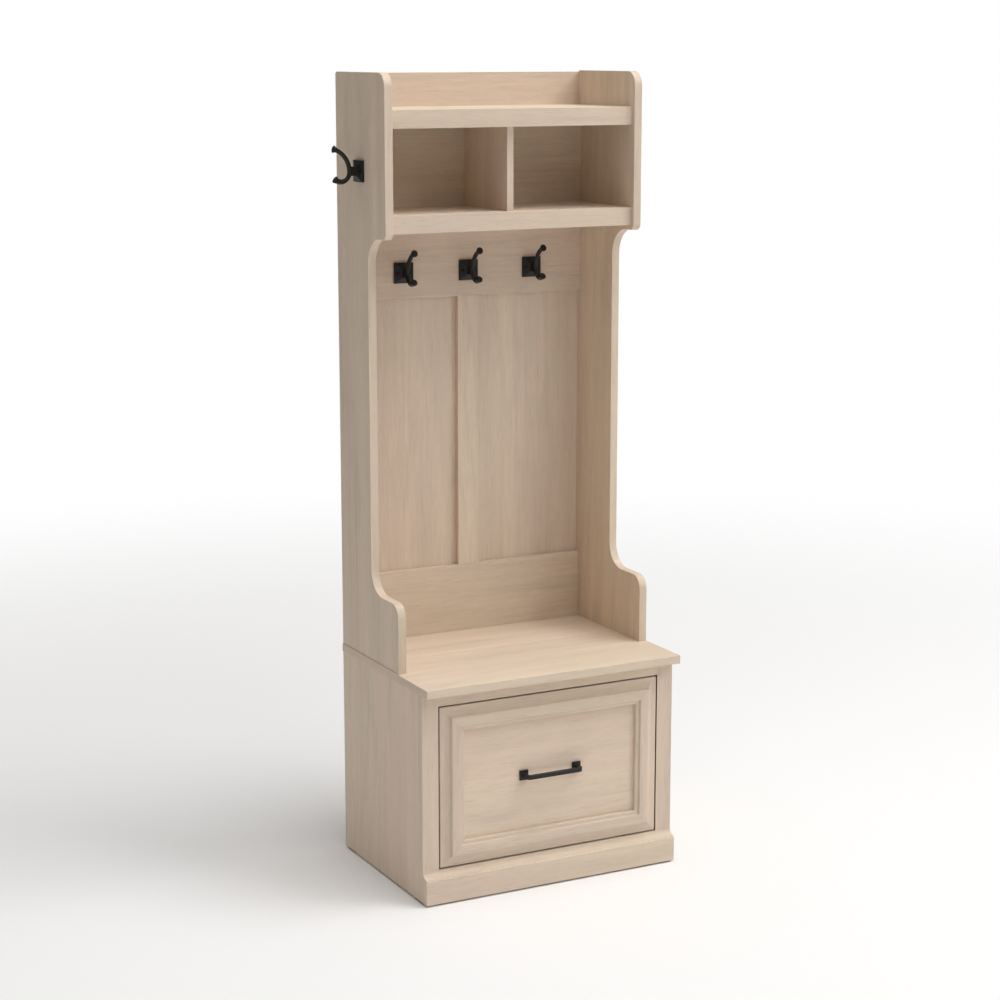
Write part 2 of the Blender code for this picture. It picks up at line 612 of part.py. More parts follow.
def build_hutch_boards(wood, plain):
    between = (-FIT, FIT)
    board_depth = (BACK_BOARD_DEPTH, SIDE_BACK_DEPTH - GAP)
    for name, top in (("top_shelf", TOP_SHELF_Z), ("lower_shelf", LOWER_SHELF_Z)):
        add_board(name, between, (SHELF_DEPTH, SIDE_BACK_DEPTH - GAP), (top - BOARD, top), wood)
        add_board(f"{name}_rail", between, (RAIL_DEPTH, RAIL_DEPTH + BOARD), (top - RAIL_HEIGHT, top), wood)
    cubby_z = (LOWER_SHELF_Z + GAP, TOP_SHELF_Z - BOARD - GAP)
    half = DIVIDER_BOARD / 2
    add_board("cubby_divider", (-half, half), (SHELF_DEPTH, BACK_BOARD_DEPTH - GAP), cubby_z, wood)
    add_board("cubby_back", between, board_depth, cubby_z, wood)
    hook_rail_z = (HOOK_RAIL_FOOT_Z, LOWER_SHELF_Z - BOARD - GAP)
    hook_rail = add_board("hook_rail", between, board_depth, hook_rail_z, wood)
    lower_rail_z = (BENCH_TOP_Z + GAP, LOWER_RAIL_TOP_Z)
    add_board("lower_back_rail", between, board_depth, lower_rail_z, wood)
    half = CENTRE_STILE_WIDTH / 2
    stile_z = (LOWER_RAIL_TOP_Z + GAP, HOOK_RAIL_FOOT_Z - GAP)
    add_board("centre_stile", (-half, half), board_depth, stile_z, wood)
    back_z = (BENCH_TOP_Z + GAP, BACK_TOP_Z)
    body = (-HALF_BODY, HALF_BODY)
    add_board("hutch_back_panel", body, (SIDE_BACK_DEPTH, BODY_DEPTH), back_z, plain)
    holes = []
    for x in (-HOOK_SPACING, 0, HOOK_SPACING):
        for offset in (-HOOK_SCREW_OFFSET, HOOK_SCREW_OFFSET):
            hole = screw_hole(HOOK_SCREW_LENGTH - HOOK_SCREW_SEAT + MM, SCREW_SHANK_RADIUS + GAP)
            matrix = Matrix.Translation((x + offset, depth_y(BACK_BOARD_DEPTH), HOOK_Z))
            holes.append(to_mesh(hole, matrix @ Matrix.Rotation(math.radians(90), 4, "X")))
    drill(hook_rail, holes)


# ---------------------------------------------------------------- hooks

def hook_path():
    """Centre line of the double arm as (out, up), in fine steps from the lower tip to the upper tip."""
    steps = 40
    lower = []
    for i in range(steps + 1):
        angle = LOWER_ARM_END + (math.pi - LOWER_ARM_END) * i / steps
        lower.append(Vector((LOWER_ARM_CENTRE[0] + LOWER_ARM_RADIUS * math.cos(angle),
                             LOWER_ARM_CENTRE[1] + LOWER_ARM_RADIUS * math.sin(angle))))
    along = LOWER_ARM_END + math.pi / 2
    tip = lower[0] + LOWER_ARM_TAIL * Vector((math.cos(along), math.sin(along)))
    upper = []
    for i in range(1, steps + 1):
        angle = math.pi + (UPPER_ARM_END - math.pi) * i / steps
        upper.append(Vector((UPPER_ARM_CENTRE[0] + UPPER_ARM_RADIUS * math.cos(angle),
                             UPPER_ARM_CENTRE[1] + UPPER_ARM_RADIUS * math.sin(angle))))
    return [tip] + lower + upper


def hook_stations(length):
    """Distances along the arm, from its lower tip, and the arm's radius there."""
    bend_start = 16 * MM
    bend_end = 30 * MM
    step = 6.5 * MM
    stations = [(reach, BEND_RADIUS + share * (LOWER_FLARE_RADIUS - BEND_RADIUS)) for reach, share in FLARE]
    first = stations[-1][0]
    last = length - FLARE[-1][0]
    count = round((last - first) / step)
    for i in range(1, count):
        reach = first + (last - first) * i / count
        share = min(max((reach - bend_start) / (bend_end - bend_start), 0), 1)
        stations.append((reach, BEND_RADIUS + share * (ARM_RADIUS - BEND_RADIUS)))
    for reach, share in reversed(FLARE):
        stations.append((length - reach, ARM_RADIUS + share * (UPPER_FLARE_RADIUS - ARM_RADIUS)))
    return stations


def hook_arm_mesh():
    path = hook_path()
    lengths = [0.0]
    for first, second in zip(path, path[1:]):
        lengths.append(lengths[-1] + (second - first).length)
    sides = 12
    bm = bmesh.new()
    rings = []
    for reach, radius in hook_stations(lengths[-1]):
        i = min(max(bisect.bisect_right(lengths, reach), 1), len(lengths) - 1)
        share = (reach - lengths[i - 1]) / (lengths[i] - lengths[i - 1])
        point = path[i - 1].lerp(path[i], share)
        along = (path[i] - path[i - 1]).normalized()
        normal = Vector((-along.y, along.x))
        ring = []
        for step in range(sides):
            angle = math.tau * step / sides
            offset = normal * (radius * math.cos(angle))
            ring.append(bm.verts.new((radius * math.sin(angle), -(point.x + offset.x), point.y + offset.y)))
        rings.append(ring)
    skin_rings(bm, rings)
    return bm


def frustum_mesh(base, top, low, high):
    """A four-sided boss along -Y, from size base at y = -low to size top at y = -high."""
    bm = bmesh.new()
    rings = []
    for (width, height), out in ((base, low), (top, high)):
        corners = ((-width, -height), (width, -height), (width, height), (-width, height))
        rings.append([bm.verts.new((x / 2, -out, z / 2)) for x, z in corners])
    skin_rings(bm, rings)
    return bm


def hook_mesh():
    """A double coat hook: square plate, neck and one bent arm; the wall is at y = 0."""
    rim = 1 * MM
    plate = box_mesh((HOOK_PLATE, HOOK_PLATE_THICKNESS, HOOK_PLATE), rim)
    plate = to_mesh(plate, Matrix.Translation((0, -HOOK_PLATE_THICKNESS / 2, 0)))
    crown_foot = HOOK_PLATE - 2.4 * rim
    crown = frustum_mesh((crown_foot, crown_foot), HOOK_CROWN, HOOK_PLATE_THICKNESS - 0.5 * rim,
                         HOOK_CROWN_HEIGHT)
    arm_centre = LOWER_ARM_CENTRE[0] - LOWER_ARM_RADIUS
    neck = frustum_mesh(HOOK_NECK, HOOK_NECK, HOOK_CROWN_HEIGHT - rim, arm_centre + 0.5 * rim)
    joined = combine(plate, [to_mesh(crown), to_mesh(neck), to_mesh(hook_arm_mesh())], "UNION")
    holes = []
    clearance = GAP / 2
    for offset in (-HOOK_SCREW_OFFSET, HOOK_SCREW_OFFSET):
        recess = HOOK_SCREW_HEAD_RADIUS + clearance
        cutter = turned_mesh([(0, HOOK_SCREW_SEAT), (recess, HOOK_SCREW_SEAT), (recess, clearance),
                              (SCREW_SHANK_RADIUS + clearance, clearance - HOOK_SCREW_HEAD_DEPTH),
                              (SCREW_SHANK_RADIUS + clearance, -2 * HOOK_SCREW_SEAT),
                              (0, -2 * HOOK_SCREW_SEAT)], 12)
        matrix = Matrix.Translation((offset, -HOOK_SCREW_SEAT, 0))
        holes.append(to_mesh(cutter, matrix @ Matrix.Rotation(math.radians(90), 4, "X")))
    mesh = combine(joined, holes, "DIFFERENCE")
    shade_smooth(mesh)
    return mesh


def hook_screw_mesh():
    """A countersunk screw that points to +Y, with its flat head at y = 0."""
    profile = [(0, 0), (HOOK_SCREW_HEAD_RADIUS, 0), (SCREW_SHANK_RADIUS, -HOOK_SCREW_HEAD_DEPTH),
               (SCREW_SHANK_RADIUS, -HOOK_SCREW_LENGTH + MM), (0, -HOOK_SCREW_LENGTH)]
    mesh = to_mesh(turned_mesh(profile, 12), Matrix.Rotation(math.radians(90), 4, "X"))
    shade_smooth(mesh)
    return mesh


def build_hooks(metal):
    mesh = hook_mesh()
    mesh.materials.clear()
    mesh.materials.append(metal)
    screw = hook_screw_mesh()
    screw.materials.append(metal)
    rail_y = depth_y(BACK_BOARD_DEPTH) - GAP
    side_y = depth_y(SIDE_HOOK_DEPTH)
    side_x = HALF_BODY + GAP
    hooks = (("left_hook", (-HOOK_SPACING, rail_y, HOOK_Z), 0),
             ("centre_hook", (0, rail_y, HOOK_Z), 0),
             ("right_hook", (HOOK_SPACING, rail_y, HOOK_Z), 0),
             ("left_side_hook", (-side_x, side_y, SIDE_HOOK_Z), -90),
             ("right_side_hook", (side_x, side_y, SIDE_HOOK_Z), 90))
    for name, location, degrees in hooks:
        turn = math.radians(degrees)
        place(name, mesh, location, turn)
        spin = Matrix.Rotation(turn, 3, "Z")
        for number, offset in ((1, -HOOK_SCREW_OFFSET), (2, HOOK_SCREW_OFFSET)):
            head = spin @ Vector((offset, -HOOK_SCREW_SEAT, 0))
            place(f"{name}_screw_{number}", screw, Vector(location) + head, turn)


def main():
    clear_scene()
    wood = make_material("washed_oak", (0.56, 0.46, 0.36), 0.55)
    plain = make_material("plain_board", (0.60, 0.52, 0.42), 0.65)
    metal = make_material("black_metal", (0.012, 0.012, 0.013), 0.42, 0.6)
    steel = make_material("zinc_steel", (0.62, 0.63, 0.65), 0.35, 0.9)
    glide_plastic = make_material("black_plastic", (0.02, 0.02, 0.02), 0.5)
    carriage = add_empty("drawer_carriage", Vector((0, FACE_Y, FRONT_CENTRE_Z)))
    build_cabinet(wood, plain, glide_plastic)
    build_drawer_front(wood, carriage)
    build_drawer_box(plain, carriage)
    build_pull(metal, steel, carriage)
    build_slides(steel, carriage)
    build_hutch_sides(wood)
    build_hutch_boards(wood, plain)
    build_hooks(metal)


main()
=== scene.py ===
"""Looks of the hall tree: finished boards, mouldings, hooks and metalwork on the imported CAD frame.

The front faces -Y and the floor is at z = 0. Every piece takes its place from the CAD node that it
stands for.
"""

import bisect
import json
import math
import random

import bmesh
import bpy
from mathutils import Matrix, Vector


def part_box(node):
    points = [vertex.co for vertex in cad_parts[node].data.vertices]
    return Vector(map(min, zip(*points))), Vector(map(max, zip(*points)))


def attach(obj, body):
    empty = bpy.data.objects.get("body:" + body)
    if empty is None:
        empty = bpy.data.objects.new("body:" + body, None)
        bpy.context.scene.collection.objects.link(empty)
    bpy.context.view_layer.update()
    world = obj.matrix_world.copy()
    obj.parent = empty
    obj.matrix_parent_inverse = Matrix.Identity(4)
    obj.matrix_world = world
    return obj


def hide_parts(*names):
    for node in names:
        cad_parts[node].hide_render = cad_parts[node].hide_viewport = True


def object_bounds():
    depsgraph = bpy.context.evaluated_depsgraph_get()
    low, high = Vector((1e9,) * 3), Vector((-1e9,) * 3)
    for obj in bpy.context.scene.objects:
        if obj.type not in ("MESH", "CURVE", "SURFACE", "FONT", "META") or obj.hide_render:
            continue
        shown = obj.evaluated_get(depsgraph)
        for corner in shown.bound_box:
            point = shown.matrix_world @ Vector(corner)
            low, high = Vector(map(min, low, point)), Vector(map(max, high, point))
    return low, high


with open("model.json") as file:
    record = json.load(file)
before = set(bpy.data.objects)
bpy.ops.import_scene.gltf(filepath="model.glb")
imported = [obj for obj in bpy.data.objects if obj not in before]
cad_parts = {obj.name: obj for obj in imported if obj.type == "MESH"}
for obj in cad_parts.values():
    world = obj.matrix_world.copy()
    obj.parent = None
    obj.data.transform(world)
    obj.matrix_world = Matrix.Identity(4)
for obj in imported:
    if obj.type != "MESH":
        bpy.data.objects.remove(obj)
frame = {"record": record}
cad_low, cad_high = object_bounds()

MM = 0.001
RECORD = frame["record"]
BODY_OF = {node: body for body, nodes in RECORD["behaviour"]["bodies"].items() for node in nodes}
SLOT_OF = {row["node"]: row["material_slot"] for row in RECORD["subparts"]}
AXES = {"x": 0, "y": 1, "z": 2}
WELD = 0.005 * MM                   # vertices closer than this become one
FINE_WELD = 0.002 * MM
CUT_REACH = 3 * MM                  # of a cutter past the sheet that it cuts
FACE_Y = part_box("left_stile")[0].y  # front of the face frame

# Boards: how much one grows on each side to close its joints, and how far its edges are rounded
TIGHTEN = 0.1 * MM
BOARD_ROUND = 0.55 * MM
THIN_BOARD_ROUND = 0.25 * MM
BENCH_ROUND = 0.9 * MM
HUTCH_SIDE_ROUND = 0.8 * MM
DRAWER_BOX_ROUND = 0.6 * MM
DRAWER_PANEL_ROUND = 0.3 * MM
PLINTH_EDGE_ROUND = 0.4 * MM
MITRE_ROUND = 0.12 * MM
GLIDE_ROUND = 0.8 * MM
ROUND_FROM_ANGLE = math.radians(30)
NOTCH_GAP = 0.3 * MM                # between the cabinet bottom and the stiles
GRAIN_SEAM = 9 * MM                 # where the back's grain turns, above the top shelf's underside

# Drawer front, as insets from its outer edge and distances in front of the face frame
BORDER_LAND = 4 * MM
BORDER_WIDTH = 22.3 * MM
SHOULDER_RADIUS = 4 * MM
FRAME_PROUD = 11 * MM
FRAME_EDGE_RADIUS = 2 * MM
MOULDING_INSET = 45.3 * MM
BEAD_PROUD = 6.6 * MM
BEAD_RADIUS = 3 * MM
LIP_INSET = 54.3 * MM
PANEL_EDGE_INSET = 48 * MM
MITRE_GAP = 0.08 * MM
PANEL_OVERLAP = 0.1 * MM
GROOVE_DEPTH = 6 * MM
GROOVE_PLAY = 0.15 * MM

# Plinth, as distances in front of the face frame
PLINTH_LIP = 1.2 * MM
PLINTH_COVE_HEIGHT = 12.6 * MM
PLINTH_NECK_HEIGHT = 2.2 * MM
PLINTH_STEP = 0.6 * MM
PLINTH_ROUND = 2.5 * MM

# Hutch side
TOP_CORNER_RADIUS = 30 * MM
BOX_DEPTH = 157 * MM                # front of the upper box section, behind the face frame
WAIST_DEPTH = 247 * MM
ARM_DEPTH = 112 * MM
BOX_FOOT_Z = 1386 * MM
BOX_FOOT_RADIUS = 14 * MM
UPPER_CURVE_RADIUS = 58 * MM
LOWER_CURVE_RADIUS = 53 * MM
ARM_TOP_Z = 625 * MM
ARM_CORNER_RADIUS = 30 * MM

# Hooks
HOOK_PLATE = 45 * MM
HOOK_PLATE_THICKNESS = 5.5 * MM
HOOK_PLATE_LAND = 2.4 * MM          # by which the crown's foot is narrower than the plate
HOOK_CROWN = (12 * MM, 22 * MM)
HOOK_CROWN_HEIGHT = 9 * MM
HOOK_NECK = (9.5 * MM, 19 * MM)
CAST_OVERLAP = 0.5 * MM
HOOK_VOXEL = 0.62 * MM
ARM_RADIUS = 4.8 * MM
UPPER_ARM_CENTRE = (73.2 * MM, -1.5 * MM)
UPPER_ARM_RADIUS = 49.7 * MM
UPPER_ARM_END = math.radians(104)
LOWER_ARM_CENTRE = (43.1 * MM, -1.8 * MM)
LOWER_ARM_RADIUS = 19.6 * MM
LOWER_ARM_END = math.radians(307)
LOWER_ARM_TAIL = 4 * MM
BEND_RADIUS = 5.5 * MM              # the arm's radius near its lower tip
BEND_START = 16 * MM                # from the lower tip, where it starts to change to ARM_RADIUS
BEND_LENGTH = 14 * MM
UPPER_FLARE_RADIUS = 8 * MM
LOWER_FLARE_RADIUS = 8.1 * MM
TIP_LENGTH = 11 * MM
# Shape of a tip: distance from its end, and its radius as a share from the arm's to the flare's
FLARE = ((0, -0.5), (0.5 * MM, 0.3), (1.3 * MM, 0.8), (2.4 * MM, 1.0), (4 * MM, 0.75),
         (6 * MM, 0.38), (8.5 * MM, 0.1), (TIP_LENGTH, 0.0))
HOOK_SCREW_OFFSET = 15.5 * MM
HOOK_SCREW_HEAD_RADIUS = 3.6 * MM
HOOK_SCREW_SEAT = 6 * MM
HOOK_SCREW_PLAY = 0.12 * MM
HOOK_TURNS = {"left_hook": 0, "centre_hook": 0, "right_hook": 0, "left_side_hook": -90,
              "right_side_hook": 90}
SCREW_SHANK_RADIUS = 1.7 * MM
CROSS_HALF_WIDTH = 0.42 * MM

# Pull
PULL_CENTRES = 128 * MM
PULL_PROJECTION = 28 * MM
PULL_BAR = 9 * MM
PULL_CORNER = 6 * MM
PULL_CHAMFER = 0.5 * MM
PULL_FOOT = Vector((20 * MM, 4 * MM, 22 * MM))
PULL_VOXEL = 0.42 * MM
PULL_SCREW_HEAD = 2.2 * MM

# Drawer slides: sheet, outer and inner bends, eased tips, and slots as shares of the length
SLIDE_SHEET = 1.2 * MM
SLIDE_BEND = 2.2 * MM
SLIDE_INNER_BEND = 1.0 * MM
SLIDE_TIP = 0.3 * MM
SLIDE_SLOTS = (0.12, 0.36, 0.64, 0.88)
SLOT_REACH = 4 * MM
SLOT_RADIUS = 2.2 * MM

# Colours
OAK_ROSY = (0.724, 0.584, 0.470)
OAK_SANDY = (0.724, 0.600, 0.466)
# Rosy colour of the lighter oak copy, whose extra brightness is painted light
OAK_WARM_PAINTED_LIGHT = (0.738, 0.590, 0.466)
OAK_GREY = (0.61, 0.505, 0.41)
PLAIN_ROSY = (0.70, 0.60, 0.47)
PLAIN_SANDY = (0.73, 0.64, 0.49)
PLAIN_GREY = (0.62, 0.54, 0.42)
HARDBOARD = ((0.335, 0.225, 0.145, 1), (0.235, 0.15, 0.092, 1))
# Raw fibreboard, coloured darker than bare board to paint the shade in the drawer's gap
FIBREBOARD_GAP_SHADE = ((0.23, 0.155, 0.095, 1), (0.15, 0.098, 0.06, 1))
ZINC = ((0.66, 0.67, 0.69, 1), (0.52, 0.54, 0.57, 1))
BLACK_COAT = ((0.0085, 0.0085, 0.0092, 1), (0.04, 0.038, 0.037, 1))
BLACK_SCREW_COAT = ((0.003, 0.003, 0.0032, 1), (0.02, 0.019, 0.018, 1))
BLACK_PLASTIC = ((0.018, 0.018, 0.019, 1), (0.045, 0.042, 0.038, 1))
FLOOR_COLOR = (0.93, 0.93, 0.93, 1)
SKY_COLOR = (1, 0.975, 0.945, 1)

# Stage, lamps as (place, size, power in watts), and camera
STAGE_RADIUS = 90
SWEEP_SIDES = 96
HAZE_REACH = (1.1, 4.5)             # distances from the object over which the haze sets in
HAZE_HEIGHT = 2 * MM
SKY_STRENGTH = 0.6
LAMP_AIM = Vector((0, 0, 0.8))
LAMPS = {
    "top_softbox": ((0.3, -0.9, 7.5), 4.5, 150),
    "front_softbox": ((0.6, -6.0, 7.0), 4.5, 68),
    "key_softbox": ((4.2, -6.0, 5.0), 2.2, 52),
    "right_softbox": ((4.0, -2.0, 6.5), 4.0, 226),
}
CAMERA_PLACE = (-2.246, -4.281, 1.777)
CAMERA_PITCH = math.radians(78.7)
CAMERA_YAW = math.radians(-27.43)
CAMERA_LENS = 81.72                 # mm, on a sensor 36 mm wide


# ---------------------------------------------------------------- materials

def add(tree, kind, inputs=None, **settings):
    """Add a node; an input given as a socket is linked, and any other value is set."""
    made = tree.nodes.new(kind)
    for key, value in settings.items():
        setattr(made, key, value)
    for key, value in (inputs or {}).items():
        if isinstance(value, bpy.types.NodeSocket):
            tree.links.new(value, made.inputs[key])
        else:
            made.inputs[key].default_value = value
    return made


def math_node(tree, operation, *values):
    return add(tree, "ShaderNodeMath", dict(enumerate(values)), operation=operation).outputs[0]


def noise(tree, vector, scale, detail=2.0, roughness=0.5, distortion=0.0):
    inputs = {"Vector": vector, "Scale": scale, "Detail": detail, "Roughness": roughness,
              "Distortion": distortion}
    return add(tree, "ShaderNodeTexNoise", inputs)


def steps(tree, value, low, high):
    """0 below low, 1 above high, and smooth between them."""
    inputs = {"Value": value, "From Min": low, "From Max": high}
    return add(tree, "ShaderNodeMapRange", inputs, interpolation_type="SMOOTHSTEP").outputs[0]


def weighted(tree, base, *terms):
    """base plus each term's value times its weight."""
    total = base
    for value, weight in terms:
        total = math_node(tree, "MULTIPLY_ADD", value, weight, total)
    return total


def mix_colors(tree, factor, first, second):
    made = add(tree, "ShaderNodeMix", {0: factor, 6: first, 7: second}, data_type="RGBA")
    return made.outputs[2]


def scaled_color(tree, color, factor):
    made = add(tree, "ShaderNodeVectorMath", {0: color, "Scale": factor}, operation="SCALE")
    return made.outputs[0]


def new_material(name, roughness, metallic=0.0, specular=0.5):
    material = bpy.data.materials.new(name)
    material.use_nodes = True
    tree = material.node_tree
    shader = tree.nodes["Principled BSDF"]
    shader.inputs["Roughness"].default_value = roughness
    shader.inputs["Metallic"].default_value = metallic
    shader.inputs["Specular IOR Level"].default_value = specular
    return material, tree, shader


def set_color(tree, shader, color, base, *terms):
    """The base colour is this colour times base plus the weighted terms."""
    color = scaled_color(tree, color, weighted(tree, base, *terms))
    tree.links.new(color, shader.inputs["Base Color"])


def set_roughness(tree, shader, base, *terms):
    tree.links.new(weighted(tree, base, *terms), shader.inputs["Roughness"])


def set_bump(tree, shader, height, strength, distance):
    inputs = {"Height": height, "Strength": strength, "Distance": distance}
    tree.links.new(add(tree, "ShaderNodeBump", inputs).outputs[0], shader.inputs["Normal"])


def wood_material(name, rosy, sandy, grey, tone=1.0, contrast=1.0, rough=0.52):
    """Printed wood decor: long streaks, fibres, flat-sawn rings, pores and grey smears.

    Noise scales are per metre across the grain; mappings stretch the patterns along the grain."""
    material, tree, shader = new_material(name, rough, specular=0.35)
    place = add(tree, "ShaderNodeAttribute", attribute_name="grain").outputs["Vector"]
    wide = add(tree, "ShaderNodeMapping", {"Vector": place, "Scale": (0.16, 1, 1)}).outputs[0]
    bend = noise(tree, wide, 7, 2).outputs["Color"]
    bend = add(tree, "ShaderNodeVectorMath", {0: bend, 1: (0.5, 0.5, 0.5)}, operation="SUBTRACT")
    bend = scaled_color(tree, bend.outputs[0], 0.03)
    bent = add(tree, "ShaderNodeVectorMath", {0: place, 1: bend}, operation="ADD").outputs[0]
    long = add(tree, "ShaderNodeMapping", {"Vector": bent, "Scale": (0.045, 1, 1)}).outputs[0]
    band = noise(tree, long, 19, 3, 0.55).outputs[0]
    streak = noise(tree, long, 150, 4, 0.65).outputs[0]
    line = steps(tree, noise(tree, long, 210, 2, 0.6).outputs[0], 0.59, 0.72)
    fibre = noise(tree, long, 700, 2, 0.6).outputs[0]
    fleck = noise(tree, wide, 230, 3, 0.6).outputs[0]
    pore = steps(tree, noise(tree, long, 410, 1).outputs[0], 0.62, 0.74)
    smear = steps(tree, noise(tree, wide, 24, 3, 0.55).outputs[0], 0.56, 0.76)
    hue = steps(tree, noise(tree, wide, 6, 2).outputs[0], 0.36, 0.64)
    rings = add(tree, "ShaderNodeMapping", {"Vector": bent, "Scale": (0.11, 1, 1)}).outputs[0]
    rings = noise(tree, rings, 4.2, 1, 0.4).outputs[0]
    rings = math_node(tree, "SINE", math_node(tree, "MULTIPLY", rings, 88))
    rings = steps(tree, rings, 0.1, 1.0)
    color = mix_colors(tree, hue, (*rosy, 1), (*sandy, 1))
    color = mix_colors(tree, math_node(tree, "MULTIPLY", smear, 0.3), color, (*grey, 1))
    calm = weighted(tree, 0.3, (steps(tree, noise(tree, wide, 13, 2).outputs[0], 0.38, 0.66), 0.9))
    streaks = math_node(tree, "MULTIPLY", math_node(tree, "SUBTRACT", streak, 0.5), calm)
    lines = math_node(tree, "MULTIPLY", line, calm)
    set_color(tree, shader, color, tone * (1 - 0.273 * contrast), (band, 0.34 * contrast),
              (streaks, 0.26 * contrast), (fleck, 0.1 * contrast), (fibre, 0.13 * contrast),
              (smear, -0.03 * contrast), (rings, -0.025 * contrast), (pore, -0.085 * contrast),
              (lines, -0.06 * contrast))
    set_roughness(tree, shader, rough - 0.08, (fibre, 0.1), (streak, 0.06))
    height = weighted(tree, 0.0, (fibre, 0.6), (streak, 0.4), (pore, -0.8))
    set_bump(tree, shader, height, 0.35, 0.12 * MM)
    return material


def hardboard_material():
    """Raw rear face of thin hardboard: brown, with a pressed screen pattern and loose fibres."""
    material, tree, shader = new_material("hardboard_rear", 0.75, specular=0.2)
    place = add(tree, "ShaderNodeTexCoord").outputs["Object"]
    cloud = noise(tree, place, 9, 3).outputs[0]
    fleck = noise(tree, place, 260, 3, 0.65).outputs[0]
    drawn = {"Vector": place, "Rotation": (0, 0.6, 0), "Scale": (1, 1, 0.2)}
    fibre = noise(tree, add(tree, "ShaderNodeMapping", drawn).outputs[0], 520, 1).outputs[0]
    dark = steps(tree, fleck, 0.45, 0.75)
    color = mix_colors(tree, dark, *HARDBOARD)
    set_color(tree, shader, color, 0.72, (cloud, 0.3), (fibre, 0.26))
    screen = add(tree, "ShaderNodeTexVoronoi", {"Vector": place, "Scale": 420.0})
    screen = screen.outputs["Distance"]
    set_bump(tree, shader, weighted(tree, 0.0, (screen, 0.6), (fibre, 0.5)), 0.5, 0.2 * MM)
    return material


def raw_edge_gap_shade_material():
    """Bare sawn edge of fibreboard, brown and finely speckled, on the faces inside the drawer
    opening; its colour is darker than bare board to paint the shade in the drawer's gap.
    """
    material, tree, shader = new_material("raw_board_edge", 0.85, specular=0.15)
    place = add(tree, "ShaderNodeTexCoord").outputs["Object"]
    cloud = noise(tree, place, 30, 3).outputs[0]
    speck = noise(tree, place, 900, 3, 0.7).outputs[0]
    color = mix_colors(tree, steps(tree, speck, 0.4, 0.65), *FIBREBOARD_GAP_SHADE)
    set_color(tree, shader, color, 0.75, (cloud, 0.5))
    set_bump(tree, shader, speck, 0.5, 0.1 * MM)
    return material


def black_metal_material(name, colors, gloss):
    """Satin black coat: fine orange peel, uneven sheen, and edges rubbed a little paler."""
    material, tree, shader = new_material(name, 0.46, specular=gloss)
    place = add(tree, "ShaderNodeTexCoord").outputs["Object"]
    cloud = noise(tree, place, 60, 3).outputs[0]
    peel = noise(tree, place, 1500, 2, 0.6).outputs[0]
    edge = steps(tree, add(tree, "ShaderNodeNewGeometry").outputs["Pointiness"], 0.515, 0.58)
    rubbed = math_node(tree, "MULTIPLY", edge, steps(tree, cloud, 0.3, 0.8))
    color = mix_colors(tree, rubbed, *colors)
    set_color(tree, shader, color, 0.6, (cloud, 0.8))
    set_roughness(tree, shader, 0.33, (cloud, 0.18), (peel, 0.12), (rubbed, -0.08))
    set_bump(tree, shader, peel, 0.3, 0.06 * MM)
    return material


def steel_material():
    """Zinc-plated sheet: pale, rolled along its length, with cloudy patches."""
    material, tree, shader = new_material("zinc_plated_steel", 0.36, metallic=0.95)
    place = add(tree, "ShaderNodeTexCoord").outputs["Object"]
    rolled = add(tree, "ShaderNodeMapping", {"Vector": place, "Scale": (1, 0.03, 1)}).outputs[0]
    line = noise(tree, rolled, 900, 2).outputs[0]
    cloud = noise(tree, place, 45, 3).outputs[0]
    color = mix_colors(tree, cloud, *ZINC)
    set_color(tree, shader, color, 0.85, (line, 0.3))
    set_roughness(tree, shader, 0.2, (cloud, 0.22), (line, 0.1))
    set_bump(tree, shader, line, 0.2, 0.03 * MM)
    return material


def plastic_material():
    """Matt black moulded plastic with a fine spark-eroded texture and dusty scuffs."""
    material, tree, shader = new_material("black_moulded_plastic", 0.55)
    place = add(tree, "ShaderNodeTexCoord").outputs["Object"]
    grit = noise(tree, place, 1800, 2).outputs[0]
    scuff = steps(tree, noise(tree, place, 130, 3).outputs[0], 0.5, 0.8)
    color = mix_colors(tree, scuff, *BLACK_PLASTIC)
    set_color(tree, shader, color, 0.8, (grit, 0.4))
    set_roughness(tree, shader, 0.42, (grit, 0.2), (scuff, 0.12))
    set_bump(tree, shader, grit, 0.35, 0.05 * MM)
    return material


# Each list is a finish: its faces, then its edges
# The oak's edge material is its banded edge, with less contrast, and a lighter tone that paints the
# highlight along the rounded edges
OAK = [wood_material("washed_oak_decor", OAK_ROSY, OAK_SANDY, OAK_GREY),
       wood_material("washed_oak_edge", OAK_ROSY, OAK_SANDY, OAK_GREY,
                     tone=1.05, contrast=0.6, rough=0.46)]
# A lighter, warmer copy of the oak for the cabinet's sides and the drawer panel: painted light,
# standing in for the light that falls low on the cabinet
OAK_PAINTED_LIGHT = [wood_material("washed_oak_pale", OAK_WARM_PAINTED_LIGHT, OAK_SANDY, OAK_GREY, tone=1.065), OAK[1]]
PLAIN = [wood_material("plain_decor", PLAIN_ROSY, PLAIN_SANDY, PLAIN_GREY,
                       contrast=0.6, rough=0.6),
         wood_material("plain_edge", PLAIN_ROSY, PLAIN_SANDY, PLAIN_GREY,
                       tone=0.96, contrast=0.5, rough=0.62)]
REAR = hardboard_material()
# Raw edge whose dark colour is painted shade for the drawer's gap
RAW_EDGE_GAP_SHADE = raw_edge_gap_shade_material()
BLACK = black_metal_material("black_powder_coat", BLACK_COAT, 0.45)
SCREW_BLACK = black_metal_material("black_screw_coat", BLACK_SCREW_COAT, 0.25)
STEEL = steel_material()
PLASTIC = plastic_material()
FINISHES = {"washed_oak": OAK, "plain_board": PLAIN, "black_metal": [BLACK], "zinc_steel": [STEEL],
            "black_plastic": [PLASTIC]}


# ---------------------------------------------------------------- shapes

